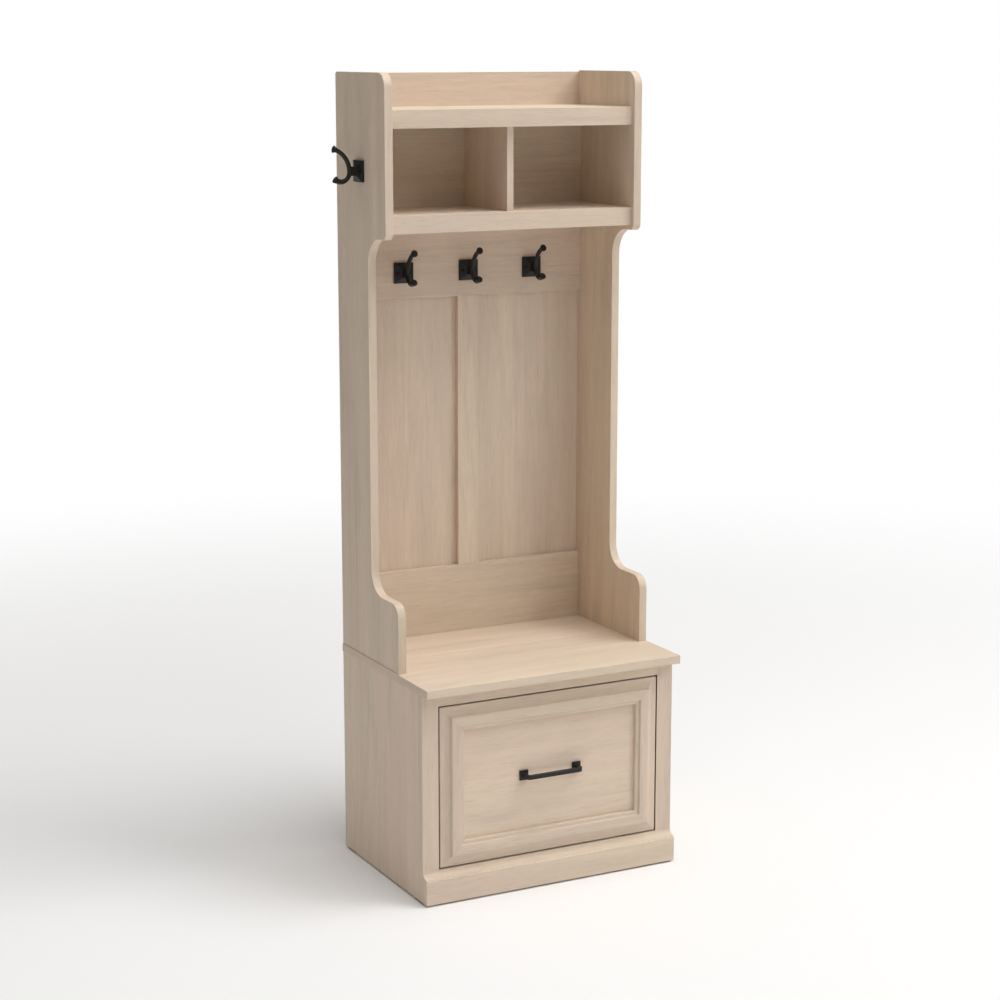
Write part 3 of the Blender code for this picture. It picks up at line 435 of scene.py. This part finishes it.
def arc(centre, radius, start_degrees, end_degrees, count):
    """Points along a circular arc, from one end to the other in count steps."""
    points = []
    for i in range(count + 1):
        angle = math.radians(start_degrees + (end_degrees - start_degrees) * i / count)
        points.append((centre[0] + radius * math.cos(angle), centre[1] + radius * math.sin(angle)))
    return points


def box_mesh(low, high):
    bm = bmesh.new()
    bmesh.ops.create_cube(bm, size=1.0)
    size = high - low
    middle = (low + high) / 2
    for vert in bm.verts:
        vert.co = Vector((vert.co.x * size.x, vert.co.y * size.y, vert.co.z * size.z)) + middle
    return bm


def prism_mesh(outline, axis, start, end):
    """Extrude a closed outline, a list of pairs in the two other axes, from start to end."""
    bm = bmesh.new()
    loops = []
    for level in (start, end):
        ring = []
        for pair in outline:
            point = list(pair)
            point.insert(axis, level)
            ring.append(bm.verts.new(point))
        loops.append(ring)
    skin_rings(bm, loops)
    return bm


def skin_rings(bm, rings):
    """Join rings of equal length with faces, and close both ends."""
    count = len(rings[0])
    for first, second in zip(rings, rings[1:]):
        for i in range(count):
            j = (i + 1) % count
            bm.faces.new((first[i], first[j], second[j], second[i]))
    bm.faces.new(rings[0])
    bm.faces.new(rings[-1])


def turned_mesh(profile, segments):
    """Turn a profile of (radius, height) pairs about Z; it starts and ends on the axis."""
    bm = bmesh.new()
    verts = [bm.verts.new((radius, 0, height)) for radius, height in profile]
    edges = [bm.edges.new(pair) for pair in zip(verts, verts[1:])]
    bmesh.ops.spin(bm, geom=verts + edges, cent=(0, 0, 0), axis=(0, 0, 1), angle=math.tau,
                   steps=segments, use_merge=True)
    bmesh.ops.remove_doubles(bm, verts=bm.verts, dist=WELD)
    return bm


def to_mesh(bm, name="shape", matrix=None):
    if matrix is not None:
        bmesh.ops.transform(bm, matrix=matrix, verts=bm.verts)
    bmesh.ops.recalc_face_normals(bm, faces=bm.faces)
    mesh = bpy.data.meshes.new(name)
    bm.to_mesh(mesh)
    bm.free()
    return mesh


def evaluated(mesh, *modifiers):
    """Apply modifiers, each given as (type, settings), and return the resulting mesh."""
    holder = bpy.data.objects.new("holder", mesh)
    bpy.context.scene.collection.objects.link(holder)
    for kind, settings in modifiers:
        modifier = holder.modifiers.new(kind.lower(), kind)
        for key, value in settings.items():
            setattr(modifier, key, value)
    bpy.context.view_layer.update()
    shown = holder.evaluated_get(bpy.context.evaluated_depsgraph_get())
    result = bpy.data.meshes.new_from_object(shown)
    bpy.data.objects.remove(holder, do_unlink=True)
    return result


def combine(mesh, tools, operation):
    """Exact Boolean of a mesh with each tool mesh."""
    for tool in tools:
        helper = bpy.data.objects.new("helper", tool)
        bpy.context.scene.collection.objects.link(helper)
        settings = {"operation": operation, "solver": "EXACT", "object": helper}
        mesh = evaluated(mesh, ("BOOLEAN", settings))
        bpy.data.objects.remove(helper, do_unlink=True)
    return mesh


def set_grain(mesh, axis, name):
    """Store where each face corner lies in its board: along the grain, then across it twice.

    A face square to the grain is a banded edge, with its own grain along its longer side."""
    pick = random.Random(name)
    shift = [pick.uniform(-20, 20) for _ in range(3)]
    spans = [[vertex.co[i] for vertex in mesh.vertices] for i in range(3)]
    size = [max(span) - min(span) for span in spans]
    others = [i for i in range(3) if i != axis]
    second = max(others, key=lambda i: size[i])
    values = []
    for face in mesh.polygons:
        along = second if abs(face.normal[axis]) > 0.75 else axis
        for vertex in face.vertices:
            place = mesh.vertices[vertex].co
            for i in range(3):
                values.append(place[(along + i) % 3] + shift[i])
    attribute = mesh.attributes.new("grain", "FLOAT_VECTOR", "CORNER")
    attribute.data.foreach_set("vector", values)


def shade(mesh, sharp_degrees):
    """Smooth shading, but sharp at edges that bend by more than this angle."""
    mesh.shade_smooth()
    mesh.set_sharp_from_angle(angle=math.radians(sharp_degrees))


def add_piece(name, mesh, node, finish=None, matrix=None):
    """A shown piece that stands for a CAD node and rides on the node's body."""
    piece = bpy.data.objects.new(name, mesh)
    bpy.context.scene.collection.objects.link(piece)
    if matrix is not None:
        piece.matrix_world = matrix
    if not mesh.materials:
        for material in finish or FINISHES[SLOT_OF[node]]:
            mesh.materials.append(material)
    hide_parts(node)
    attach(piece, BODY_OF[node])
    return piece


def round_edges(piece, width, segments=3, material=-1):
    """Rounded, evenly lit edges wherever two faces meet at an angle."""
    for face in piece.data.polygons:
        face.use_smooth = True
    bevel = piece.modifiers.new("rounded_edges", "BEVEL")
    bevel.width = width
    bevel.segments = segments
    bevel.limit_method = "ANGLE"
    bevel.angle_limit = ROUND_FROM_ANGLE
    bevel.harden_normals = True
    bevel.material = material
    return piece


def add_wooden(name, bm, node, grain, width=BOARD_ROUND, finish=None):
    """A wooden piece with its grain along an axis; its edges take its finish's second material."""
    mesh = to_mesh(bm, name)
    set_grain(mesh, AXES[grain], name)
    return round_edges(add_piece(name, mesh, node, finish), width, material=1)


def grown_box(node):
    """The node's box, grown a little to close its joints, but never past the whole object's box."""
    low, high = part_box(node)
    low = Vector(max(low[i] - TIGHTEN, cad_low[i]) for i in range(3))
    high = Vector(min(high[i] + TIGHTEN, cad_high[i]) for i in range(3))
    return low, high


def add_board(node, grain, width=BOARD_ROUND, finish=None):
    low, high = grown_box(node)
    return add_wooden(f"{node}_board", box_mesh(low, high), node, grain, width, finish)


# ---------------------------------------------------------------- boards

def set_faces(piece, axis, sign, index):
    """Give the faces that look along an axis another of the piece's materials."""
    for face in piece.data.polygons:
        if face.normal[axis] * sign > 0.5:
            face.material_index = index


def build_boards():
    # The cabinet's sides take the oak copy that is lightened as painted light
    for node in ("cabinet_left_side", "cabinet_right_side"):
        add_board(node, "z", finish=OAK_PAINTED_LIGHT)
    for node in ("centre_stile", "cubby_divider"):
        add_board(node, "z")
    # The faces inside the drawer opening take the raw edge, darkened as painted shade for the
    # drawer's gap
    for node, inward in (("left_stile", 1), ("right_stile", -1)):
        set_faces(add_board(node, "z", finish=[*OAK, RAW_EDGE_GAP_SHADE]), 0, inward, 2)
    set_faces(add_board("top_rail", "x", finish=[*OAK, RAW_EDGE_GAP_SHADE]), 2, -1, 2)
    for node in ("top_shelf", "top_shelf_rail", "lower_shelf", "lower_shelf_rail", "cubby_back",
                 "hook_rail", "lower_back_rail"):
        add_board(node, "x")
    add_board("bench_top", "x", BENCH_ROUND)
    for node in ("left_slide_spacer", "right_slide_spacer"):
        add_board(node, "y")
    set_faces(add_board("cabinet_back", "x", THIN_BOARD_ROUND, [*PLAIN, REAR]), 1, 1, 2)
    build_hutch_back()


def build_hutch_back():
    """The hutch's back: its grain runs up behind the hooks, and across above the top shelf."""
    low, high = grown_box("hutch_back_panel")
    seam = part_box("top_shelf")[0].z + GRAIN_SEAM
    bm = box_mesh(low, high)
    bmesh.ops.bisect_plane(bm, geom=bm.verts[:] + bm.edges[:] + bm.faces[:], plane_co=(0, 0, seam),
                           plane_no=(0, 0, 1))
    mesh = to_mesh(bm, "hutch_back_panel_board")
    set_grain(mesh, AXES["z"], mesh.name)
    grain = mesh.attributes["grain"].data
    for face in mesh.polygons:
        if face.center.z > seam:
            for corner in face.loop_indices:
                up, across, deep = grain[corner].vector
                grain[corner].vector = (across, deep, up)
    piece = add_piece(mesh.name, mesh, "hutch_back_panel", [*OAK, REAR])
    set_faces(round_edges(piece, THIN_BOARD_ROUND, material=1), 1, 1, 2)


def plinth_outline(low, high):
    """Outline of the plinth board as (y, z), with a cove and a rounded step along its top."""
    front = low.y
    neck = front + PLINTH_ROUND
    reach = FACE_Y - PLINTH_LIP - neck - PLINTH_STEP
    foot = high.z - PLINTH_COVE_HEIGHT
    points = [(high.y, low.z), (high.y, high.z)]
    for along, up in arc((0, 0), 1, 0, -90, 20):
        points.append((neck + PLINTH_STEP + reach * along, high.z + PLINTH_COVE_HEIGHT * up))
    points.append((neck, foot - PLINTH_STEP))
    points += arc((neck, foot - PLINTH_NECK_HEIGHT - PLINTH_ROUND), PLINTH_ROUND, 90, 180, 10)
    points.append((front, low.z))
    return points


def build_cabinet():
    low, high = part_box("plinth_board")
    bm = prism_mesh(plinth_outline(low, high), 0, low.x, high.x)
    add_wooden("plinth_moulding", bm, "plinth_board", "x", PLINTH_EDGE_ROUND)
    low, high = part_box("cabinet_bottom")
    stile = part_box("left_stile")[1]
    notch = -stile.x - NOTCH_GAP
    shoulder = stile.y + NOTCH_GAP
    outline = [(-notch, low.y), (notch, low.y), (notch, shoulder), (high.x, shoulder),
               (high.x, high.y), (low.x, high.y), (low.x, shoulder), (-notch, shoulder)]
    add_wooden("cabinet_bottom_board", prism_mesh(outline, 2, low.z, high.z), "cabinet_bottom", "x")
    for corner in ("front_left", "front_right", "rear_left", "rear_right"):
        node = f"{corner}_glide"
        low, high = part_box(node)
        middle = (low + high) / 2
        radius = (high.x - low.x) / 2
        reach = (high.y - low.y) / 2 - radius
        outline = arc((middle.x, middle.y + reach), radius, 0, 180, 16)
        outline += arc((middle.x, middle.y - reach), radius, 180, 360, 16)
        mesh = to_mesh(prism_mesh(outline, 2, low.z, high.z), node)
        round_edges(add_piece(f"{node}_pad", mesh, node), GLIDE_ROUND)


def hutch_side_outline(low, high):
    """Outline of a hutch side as (y, z), with fine curves, from its back foot."""
    box = FACE_Y + BOX_DEPTH
    waist = FACE_Y + WAIST_DEPTH
    arm = FACE_Y + ARM_DEPTH
    points = [(high.y, low.z), (high.y, high.z)]
    for y, y_sign, z, z_sign, radius, start, end, count in (
            (box, 1, high.z, -1, TOP_CORNER_RADIUS, 90, 180, 24),
            (box, 1, BOX_FOOT_Z, 1, BOX_FOOT_RADIUS, 180, 270, 14),
            (waist, -1, BOX_FOOT_Z, -1, UPPER_CURVE_RADIUS, 90, 0, 32),
            (waist, -1, ARM_TOP_Z, 1, LOWER_CURVE_RADIUS, 0, -90, 32),
            (arm, 1, ARM_TOP_Z, -1, ARM_CORNER_RADIUS, 90, 180, 24)):
        points += arc((y + y_sign * radius, z + z_sign * radius), radius, start, end, count)
    points.append((arm, low.z))
    return points


def build_hutch_sides():
    for node in ("hutch_left_side", "hutch_right_side"):
        low, high = grown_box(node)
        bm = prism_mesh(hutch_side_outline(low, high), 0, low.x, high.x)
        add_wooden(f"{node}_board", bm, node, "z", HUTCH_SIDE_ROUND)


# ---------------------------------------------------------------- drawer

def moulding_outline(front_back):
    """Outline of the drawer front's frame as (inset from its edge, distance behind the face)."""
    reach = BORDER_WIDTH - BORDER_LAND
    rise = FRAME_PROUD - SHOULDER_RADIUS
    points = [(0, front_back), (0, 0.8 * MM), (0.25 * MM, 0.3 * MM), (0.8 * MM, 0.05 * MM)]
    for along, up in arc((0, 0), 1, 90, 0, 20):
        points.append((BORDER_LAND + reach * along, rise * (up - 1)))
    points += arc((BORDER_WIDTH + SHOULDER_RADIUS, -rise), SHOULDER_RADIUS, 180, 270, 12)[1:]
    edge = FRAME_EDGE_RADIUS
    points += arc((MOULDING_INSET - edge, edge - FRAME_PROUD), edge, -90, 0, 8)
    hollow = FRAME_PROUD - edge - BEAD_PROUD
    points += arc((MOULDING_INSET + hollow, edge - FRAME_PROUD), hollow, 180, 90, 8)[1:]
    points += arc((LIP_INSET - BEAD_RADIUS, BEAD_RADIUS - BEAD_PROUD), BEAD_RADIUS, -90, 0, 12)
    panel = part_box("drawer_front_panel")[0].y - FACE_Y - PANEL_OVERLAP
    points += [(LIP_INSET, panel), (PANEL_EDGE_INSET, panel), (PANEL_EDGE_INSET, front_back)]
    return points


def mitred_mesh(length, outline):
    """A frame member along X with mitred ends; its outer edge is up, at z = 0."""
    bm = bmesh.new()
    rings = []
    for sign in (-1, 1):
        ring = []
        for inset, depth in outline:
            ring.append(bm.verts.new((sign * (length / 2 - inset - MITRE_GAP), depth, -inset)))
        rings.append(ring)
    skin_rings(bm, rings)
    return bm


def build_drawer_front():
    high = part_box("drawer_front_top_rail")[1]
    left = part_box("drawer_front_left_stile")[0].x
    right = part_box("drawer_front_right_stile")[1].x
    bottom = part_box("drawer_front_bottom_rail")[0].z
    outline = moulding_outline(high.y - FACE_Y)
    centre = (bottom + high.z) / 2
    members = (("top_rail", right - left, 0, 0, high.z, "x"),
               ("bottom_rail", right - left, 180, 0, bottom, "x"),
               ("left_stile", high.z - bottom, -90, left, centre, "z"),
               ("right_stile", high.z - bottom, 90, right, centre, "z"))
    for part, length, turn, x, z, grain in members:
        bm = mitred_mesh(length, outline)
        matrix = Matrix.Translation((x, FACE_Y, z)) @ Matrix.Rotation(math.radians(turn), 4, "Y")
        bmesh.ops.transform(bm, matrix=matrix, verts=bm.verts)
        add_wooden(f"front_{part}_moulding", bm, f"drawer_front_{part}", grain, MITRE_ROUND)
    add_board("drawer_front_panel", "x", DRAWER_PANEL_ROUND, OAK_PAINTED_LIGHT)


def build_drawer_box():
    low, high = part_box("drawer_bottom")
    groove_low, groove_high = low.z - GROOVE_PLAY, high.z + GROOVE_PLAY
    for side, inward in (("left", 1), ("right", -1)):
        node = f"drawer_{side}_side"
        low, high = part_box(node)
        outer, inner = (low.x, high.x) if inward > 0 else (high.x, low.x)
        floor = inner - inward * GROOVE_DEPTH
        outline = [(outer, low.z), (inner, low.z), (inner, groove_low), (floor, groove_low),
                   (floor, groove_high), (inner, groove_high), (inner, high.z), (outer, high.z)]
        bm = prism_mesh(outline, 1, low.y, high.y)
        add_wooden(f"{node}_board", bm, node, "y", DRAWER_BOX_ROUND)
    add_board("drawer_back", "x", DRAWER_BOX_ROUND)
    add_board("drawer_bottom", "x", DRAWER_PANEL_ROUND)


def cast_mesh(mesh, voxel, name):
    """Soften a union of simple solids into one cast or forged skin, at about its own size."""
    remesh = {"mode": "VOXEL", "voxel_size": voxel, "use_smooth_shade": True}
    mesh = evaluated(mesh, ("REMESH", remesh), ("SMOOTH", {"factor": 0.5, "iterations": 3}),
                     ("DECIMATE", {"ratio": 0.3}))
    mesh.name = name
    for face in mesh.polygons:
        face.use_smooth = True
    return mesh


def square_section(half, chamfer):
    inner = half - chamfer
    return [(half, -inner), (half, inner), (inner, half), (-inner, half),
            (-half, inner), (-half, -inner), (-inner, -half), (inner, -half)]


def build_pull():
    """A square bar bent to a U between two square feet; locally the panel is at y = 0."""
    half = PULL_CENTRES / 2
    run = PULL_PROJECTION - PULL_BAR / 2
    path = [(-half, PULL_FOOT.y / 2)]
    path += arc((-half + PULL_CORNER, run - PULL_CORNER), PULL_CORNER, 180, 90, 12)
    path += arc((half - PULL_CORNER, run - PULL_CORNER), PULL_CORNER, 90, 0, 12)
    path.append((half, PULL_FOOT.y / 2))
    bm = bmesh.new()
    rings = []
    for i, (x, out) in enumerate(path):
        before = Vector(path[max(i - 1, 0)])
        after = Vector(path[min(i + 1, len(path) - 1)])
        along = (after - before).normalized()
        side = Vector((along.y, -along.x))
        ring = [bm.verts.new((x + side.x * across, -(out + side.y * across), up))
                for across, up in square_section(PULL_BAR / 2, PULL_CHAMFER)]
        rings.append(ring)
    skin_rings(bm, rings)
    feet = []
    for sign in (-1, 1):
        corner = Vector((PULL_FOOT.x / 2, 0, PULL_FOOT.z / 2))
        middle = Vector((sign * half, 0, 0))
        foot = box_mesh(middle - corner - Vector((0, PULL_FOOT.y, 0)), middle + corner)
        feet.append(to_mesh(foot))
    mesh = cast_mesh(combine(to_mesh(bm), feet, "UNION"), PULL_VOXEL, "pull_bar")
    low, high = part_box("pull_left_screw")
    place = Matrix.Translation((0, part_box("drawer_pull")[1].y, (low.z + high.z) / 2))
    add_piece("pull_handle", mesh, "drawer_pull", matrix=place)


def screw_mesh(profile, recess_top, recess_depth, reach, name):
    """A turned screw with a cross recess; it points to -Z and its head's flat is at recess_top."""
    mesh = to_mesh(turned_mesh(profile, 40))
    slot = CROSS_HALF_WIDTH
    quarter = [(reach, -slot), (reach, slot), (slot, slot)]
    cross = []
    for _ in range(4):
        cross += quarter
        quarter = [(-y, x) for x, y in quarter]
    recess = prism_mesh(cross, 2, recess_top - recess_depth, recess_top + MM)
    mesh = combine(mesh, [to_mesh(recess)], "DIFFERENCE")
    bm = bmesh.new()
    bm.from_mesh(mesh)
    bmesh.ops.remove_doubles(bm, verts=bm.verts, dist=FINE_WELD)
    bmesh.ops.dissolve_degenerate(bm, edges=bm.edges, dist=FINE_WELD)
    mesh = to_mesh(bm)
    mesh.name = name
    shade(mesh, 32)
    return mesh


def build_pull_screws():
    low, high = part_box("pull_left_screw")
    length = high.y - low.y
    head = PULL_SCREW_HEAD
    radius = (high.x - low.x) / 2
    profile = [(0, head)] + [(radius * math.sin(a), head - (1 - math.cos(a)) * head * 0.8)
                             for a in (math.radians(d) for d in range(15, 91, 15))]
    profile += [(radius, 0), (SCREW_SHANK_RADIUS, 0), (SCREW_SHANK_RADIUS, head - length),
                (0, head - length)]
    mesh = screw_mesh(profile, head, 1.2 * MM, 2 * MM, "pull_screw")
    for side in ("left", "right"):
        node = f"pull_{side}_screw"
        low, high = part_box(node)
        middle = (low + high) / 2
        place = Matrix.Translation((middle.x, high.y - head, middle.z))
        place = place @ Matrix.Rotation(-math.pi / 2, 4, "X")
        add_piece(f"{node}_steel", mesh, node, matrix=place)


def channel_outline(low, high, open_sign):
    """A C-section as (x, z) with bent corners and eased tips; it opens towards open_sign in X."""
    sheet, outer, inner = SLIDE_SHEET, SLIDE_BEND, SLIDE_INNER_BEND
    web, tip = (low.x, high.x) if open_sign > 0 else (high.x, low.x)
    half = (high.z - low.z) / 2
    upper = [(abs(tip - web), half - sheet), (abs(tip - web) - SLIDE_TIP, half)]
    upper += arc((outer, half - outer), outer, 90, 180, 6)
    inside = arc((sheet + inner, half - sheet - inner), inner, 180, 90, 5)
    points = [(x, -z) for x, z in upper] + [(x, z) for x, z in reversed(upper)]
    points += [(x, z) for x, z in reversed(inside)] + [(x, -z) for x, z in inside]
    middle = (low.z + high.z) / 2
    return [(web + open_sign * x, middle + z) for x, z in points]


def build_slides():
    for side, outward in (("left", -1), ("right", 1)):
        for member, opens in (("cabinet_slide", -outward), ("middle_slide", -outward),
                              ("drawer_slide", outward)):
            node = f"{side}_{member}"
            low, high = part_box(node)
            bm = prism_mesh(channel_outline(low, high, opens), 1, low.y, high.y)
            mesh = to_mesh(bm, node)
            web = low.x if opens > 0 else high.x
            tools = []
            for share in SLIDE_SLOTS:
                y = low.y + (high.y - low.y) * share
                middle = Vector((web, y, (low.z + high.z) / 2))
                slot = arc((middle.y + SLOT_REACH, middle.z), SLOT_RADIUS, -90, 90, 8)
                slot += arc((middle.y - SLOT_REACH, middle.z), SLOT_RADIUS, 90, 270, 8)
                tools.append(to_mesh(prism_mesh(slot, 0, web - CUT_REACH, web + CUT_REACH)))
            mesh = combine(mesh, tools, "DIFFERENCE")
            mesh.name = f"{node}_rolled"
            shade(mesh, 35)
            add_piece(f"{node}_rail", mesh, node)


# ---------------------------------------------------------------- hooks

def hook_path():
    """Centre line of the double arm as (out, up), in fine steps from its lower to its upper tip."""
    count = 60
    lower = []
    for i in range(count + 1):
        angle = LOWER_ARM_END + (math.pi - LOWER_ARM_END) * i / count
        lower.append(Vector((LOWER_ARM_CENTRE[0] + LOWER_ARM_RADIUS * math.cos(angle),
                             LOWER_ARM_CENTRE[1] + LOWER_ARM_RADIUS * math.sin(angle))))
    along = LOWER_ARM_END + math.pi / 2
    tip = lower[0] + LOWER_ARM_TAIL * Vector((math.cos(along), math.sin(along)))
    upper = []
    for i in range(1, count + 1):
        angle = math.pi + (UPPER_ARM_END - math.pi) * i / count
        upper.append(Vector((UPPER_ARM_CENTRE[0] + UPPER_ARM_RADIUS * math.cos(angle),
                             UPPER_ARM_CENTRE[1] + UPPER_ARM_RADIUS * math.sin(angle))))
    return [tip] + lower + upper


def flare_share(reach):
    """Share of the way from the arm's radius to the flare's, at this distance from a tip."""
    for (near, first), (far, second) in zip(FLARE, FLARE[1:]):
        if reach <= far:
            t = (reach - near) / (far - near)
            return first + (second - first) * t
    return 0.0


def hook_arm_mesh():
    """The double arm, round in section, with its rings closer together in the flared tips."""
    path = hook_path()
    lengths = [0.0]
    for first, second in zip(path, path[1:]):
        lengths.append(lengths[-1] + (second - first).length)
    total = lengths[-1]
    near = [value * MM for value in (0, 0.25, 0.5, 0.9, 1.3, 1.8, 2.4, 3.2, 4, 5, 6, 7, 8.5, 10)]
    count = 40
    between = total - 2 * TIP_LENGTH
    stations = near + [TIP_LENGTH + between * i / count for i in range(count + 1)]
    stations += [total - value for value in reversed(near)]
    sides = 32
    bm = bmesh.new()
    rings = []
    for reach in stations:
        i = min(max(bisect.bisect_right(lengths, reach), 1), len(lengths) - 1)
        share = (reach - lengths[i - 1]) / (lengths[i] - lengths[i - 1])
        point = path[i - 1].lerp(path[i], share)
        along = (path[i] - path[i - 1]).normalized()
        normal = Vector((-along.y, along.x))
        ease = min(max((reach - BEND_START) / BEND_LENGTH, 0), 1)
        radius = BEND_RADIUS + ease * (ARM_RADIUS - BEND_RADIUS)
        radius += flare_share(reach) * (LOWER_FLARE_RADIUS - BEND_RADIUS)
        radius += flare_share(total - reach) * (UPPER_FLARE_RADIUS - ARM_RADIUS)
        ring = []
        for step in range(sides):
            angle = math.tau * step / sides
            middle = point + normal * (radius * math.cos(angle))
            ring.append(bm.verts.new((radius * math.sin(angle), -middle.x, middle.y)))
        rings.append(ring)
    skin_rings(bm, rings)
    return to_mesh(bm)


def frustum_mesh(base, top, low, high):
    """A four-sided boss along -Y, from size base at y = -low to size top at y = -high."""
    bm = bmesh.new()
    rings = []
    for (width, height), out in ((base, low), (top, high)):
        corners = ((-width, -height), (width, -height), (width, height), (-width, height))
        rings.append([bm.verts.new((x / 2, -out, z / 2)) for x, z in corners])
    skin_rings(bm, rings)
    return to_mesh(bm)


def hook_screw_seat(offset):
    """Where a screw lies in a hook's own axes, with its point towards the wall."""
    return Matrix.Translation((offset, -HOOK_SCREW_SEAT, 0)) @ Matrix.Rotation(math.pi / 2, 4, "X")


def hook_mesh():
    """A cast hook: square plate, sloped crown, neck, double arm and two screw seats."""
    half = HOOK_PLATE / 2
    front = HOOK_PLATE_THICKNESS
    plate = to_mesh(box_mesh(Vector((-half, -front, -half)), Vector((half, 0, half))))
    foot = HOOK_PLATE - HOOK_PLATE_LAND
    crown = frustum_mesh((foot, foot), HOOK_CROWN, front - CAST_OVERLAP, HOOK_CROWN_HEIGHT)
    out = LOWER_ARM_CENTRE[0] - LOWER_ARM_RADIUS
    neck = frustum_mesh(HOOK_NECK, HOOK_NECK, HOOK_CROWN_HEIGHT - MM, out + CAST_OVERLAP)
    mesh = cast_mesh(combine(plate, [crown, neck, hook_arm_mesh()], "UNION"), HOOK_VOXEL, "cast")
    recess = HOOK_SCREW_HEAD_RADIUS + HOOK_SCREW_PLAY
    profile = [(0, HOOK_SCREW_SEAT), (recess, HOOK_SCREW_SEAT), (recess, 0), (0, -2 * MM)]
    cutters = [to_mesh(turned_mesh(profile, 32), matrix=hook_screw_seat(offset))
               for offset in (-HOOK_SCREW_OFFSET, HOOK_SCREW_OFFSET)]
    mesh = combine(mesh, cutters, "DIFFERENCE")
    mesh.name = "cast_hook"
    shade(mesh, 50)
    return mesh


def build_hooks():
    casting = hook_mesh()
    radius = HOOK_SCREW_HEAD_RADIUS
    profile = [(0, 0), (radius - 0.3 * MM, 0), (radius, -0.2 * MM), (SCREW_SHANK_RADIUS, -2.2 * MM),
               (SCREW_SHANK_RADIUS, -14 * MM), (0, -15 * MM)]
    screw = screw_mesh(profile, 0, 1.3 * MM, 2.1 * MM, "hook_screw")
    for hook, degrees in HOOK_TURNS.items():
        boxes = [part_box(f"{hook}_screw_{number}") for number in (1, 2)]
        wall = sum((low + high for low, high in boxes), Vector()) / 4
        low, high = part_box(hook)
        if degrees:
            wall.x = high.x if degrees < 0 else low.x
        else:
            wall.y = high.y
        place = Matrix.Translation(wall) @ Matrix.Rotation(math.radians(degrees), 4, "Z")
        add_piece(f"{hook}_casting", casting, hook, matrix=place)
        for number, offset in ((1, -HOOK_SCREW_OFFSET), (2, HOOK_SCREW_OFFSET)):
            node = f"{hook}_screw_{number}"
            add_piece(f"{node}_steel", screw, node, [SCREW_BLACK], place @ hook_screw_seat(offset))


# ---------------------------------------------------------------- studio

def build_sweep(name, profile, material):
    """A stage surface turned about the object from (radius, height) pairs."""
    bm = bmesh.new()
    rings = []
    for radius, height in profile:
        ring = []
        for step in range(SWEEP_SIDES):
            angle = math.tau * step / SWEEP_SIDES
            ring.append(bm.verts.new((radius * math.cos(angle), radius * math.sin(angle), height)))
        rings.append(ring)
    for inner, outer in zip(rings, rings[1:]):
        for i in range(SWEEP_SIDES):
            j = (i + 1) % SWEEP_SIDES
            bm.faces.new((inner[i], outer[i], outer[j], inner[j]))
    if len(rings) == 1:
        bm.faces.new(rings[0])
    sweep = bpy.data.objects.new(name, to_mesh(bm, name))
    sweep.data.materials.append(material)
    bpy.context.scene.collection.objects.link(sweep)
    return sweep


def build_floor():
    """A wide pale floor, under a haze that whitens with distance and lights nothing."""
    material, _, shader = new_material("pale_floor", 0.9, specular=0.1)
    shader.inputs["Base Color"].default_value = FLOOR_COLOR
    build_sweep("studio_floor", [(STAGE_RADIUS, 0)], material)
    material, tree, _ = new_material("pale_haze", 1.0)
    place = add(tree, "ShaderNodeTexCoord").outputs["Object"]
    distance = add(tree, "ShaderNodeVectorMath", {0: place}, operation="LENGTH").outputs["Value"]
    glow = add(tree, "ShaderNodeEmission", {"Color": (1, 1, 1, 1), "Strength": 1.0}).outputs[0]
    clear = add(tree, "ShaderNodeBsdfTransparent").outputs[0]
    haziness = steps(tree, distance, *HAZE_REACH)
    blend = add(tree, "ShaderNodeMixShader", {0: haziness, 1: clear, 2: glow})
    tree.links.new(blend.outputs[0], tree.nodes["Material Output"].inputs["Surface"])
    wall = STAGE_RADIUS - 1
    profile = [(HAZE_REACH[0], HAZE_HEIGHT), (wall, HAZE_HEIGHT), (wall, STAGE_RADIUS)]
    haze = build_sweep("studio_haze", profile, material)
    for ray in ("diffuse", "glossy", "shadow", "transmission"):
        setattr(haze, f"visible_{ray}", False)


def build_world():
    """A slightly warm sky that brightens towards the zenith."""
    world = bpy.data.worlds.new("studio")
    bpy.context.scene.world = world
    world.use_nodes = True
    tree = world.node_tree
    direction = add(tree, "ShaderNodeTexCoord").outputs["Generated"]
    height = add(tree, "ShaderNodeSeparateXYZ", {0: direction}).outputs["Z"]
    strength = math_node(tree, "MULTIPLY", math_node(tree, "MAXIMUM", height, 0.0), SKY_STRENGTH)
    background = tree.nodes["Background"]
    background.inputs["Color"].default_value = SKY_COLOR
    tree.links.new(strength, background.inputs["Strength"])


def build_lamps():
    for name, (place, size, power) in LAMPS.items():
        lamp = bpy.data.lights.new(name, "AREA")
        lamp.shape = "DISK"
        lamp.size = size
        lamp.energy = power
        holder = bpy.data.objects.new(name, lamp)
        bpy.context.scene.collection.objects.link(holder)
        holder.location = place
        holder.rotation_euler = (LAMP_AIM - Vector(place)).to_track_quat("-Z", "Y").to_euler()


def build_camera():
    camera = bpy.data.cameras.new("camera")
    camera.lens = CAMERA_LENS
    camera.sensor_width = 36
    camera.clip_end = 2 * STAGE_RADIUS + 20
    holder = bpy.data.objects.new("camera", camera)
    bpy.context.scene.collection.objects.link(holder)
    holder.location = CAMERA_PLACE
    holder.rotation_euler = (CAMERA_PITCH, 0, CAMERA_YAW)
    bpy.context.scene.camera = holder
    bpy.context.scene.view_settings.view_transform = "Standard"
    bpy.context.scene.view_settings.look = "None"


build_boards()
build_cabinet()
build_hutch_sides()
build_drawer_front()
build_drawer_box()
build_pull()
build_pull_screws()
build_slides()
build_hooks()
build_floor()
build_world()
build_lamps()
build_camera()
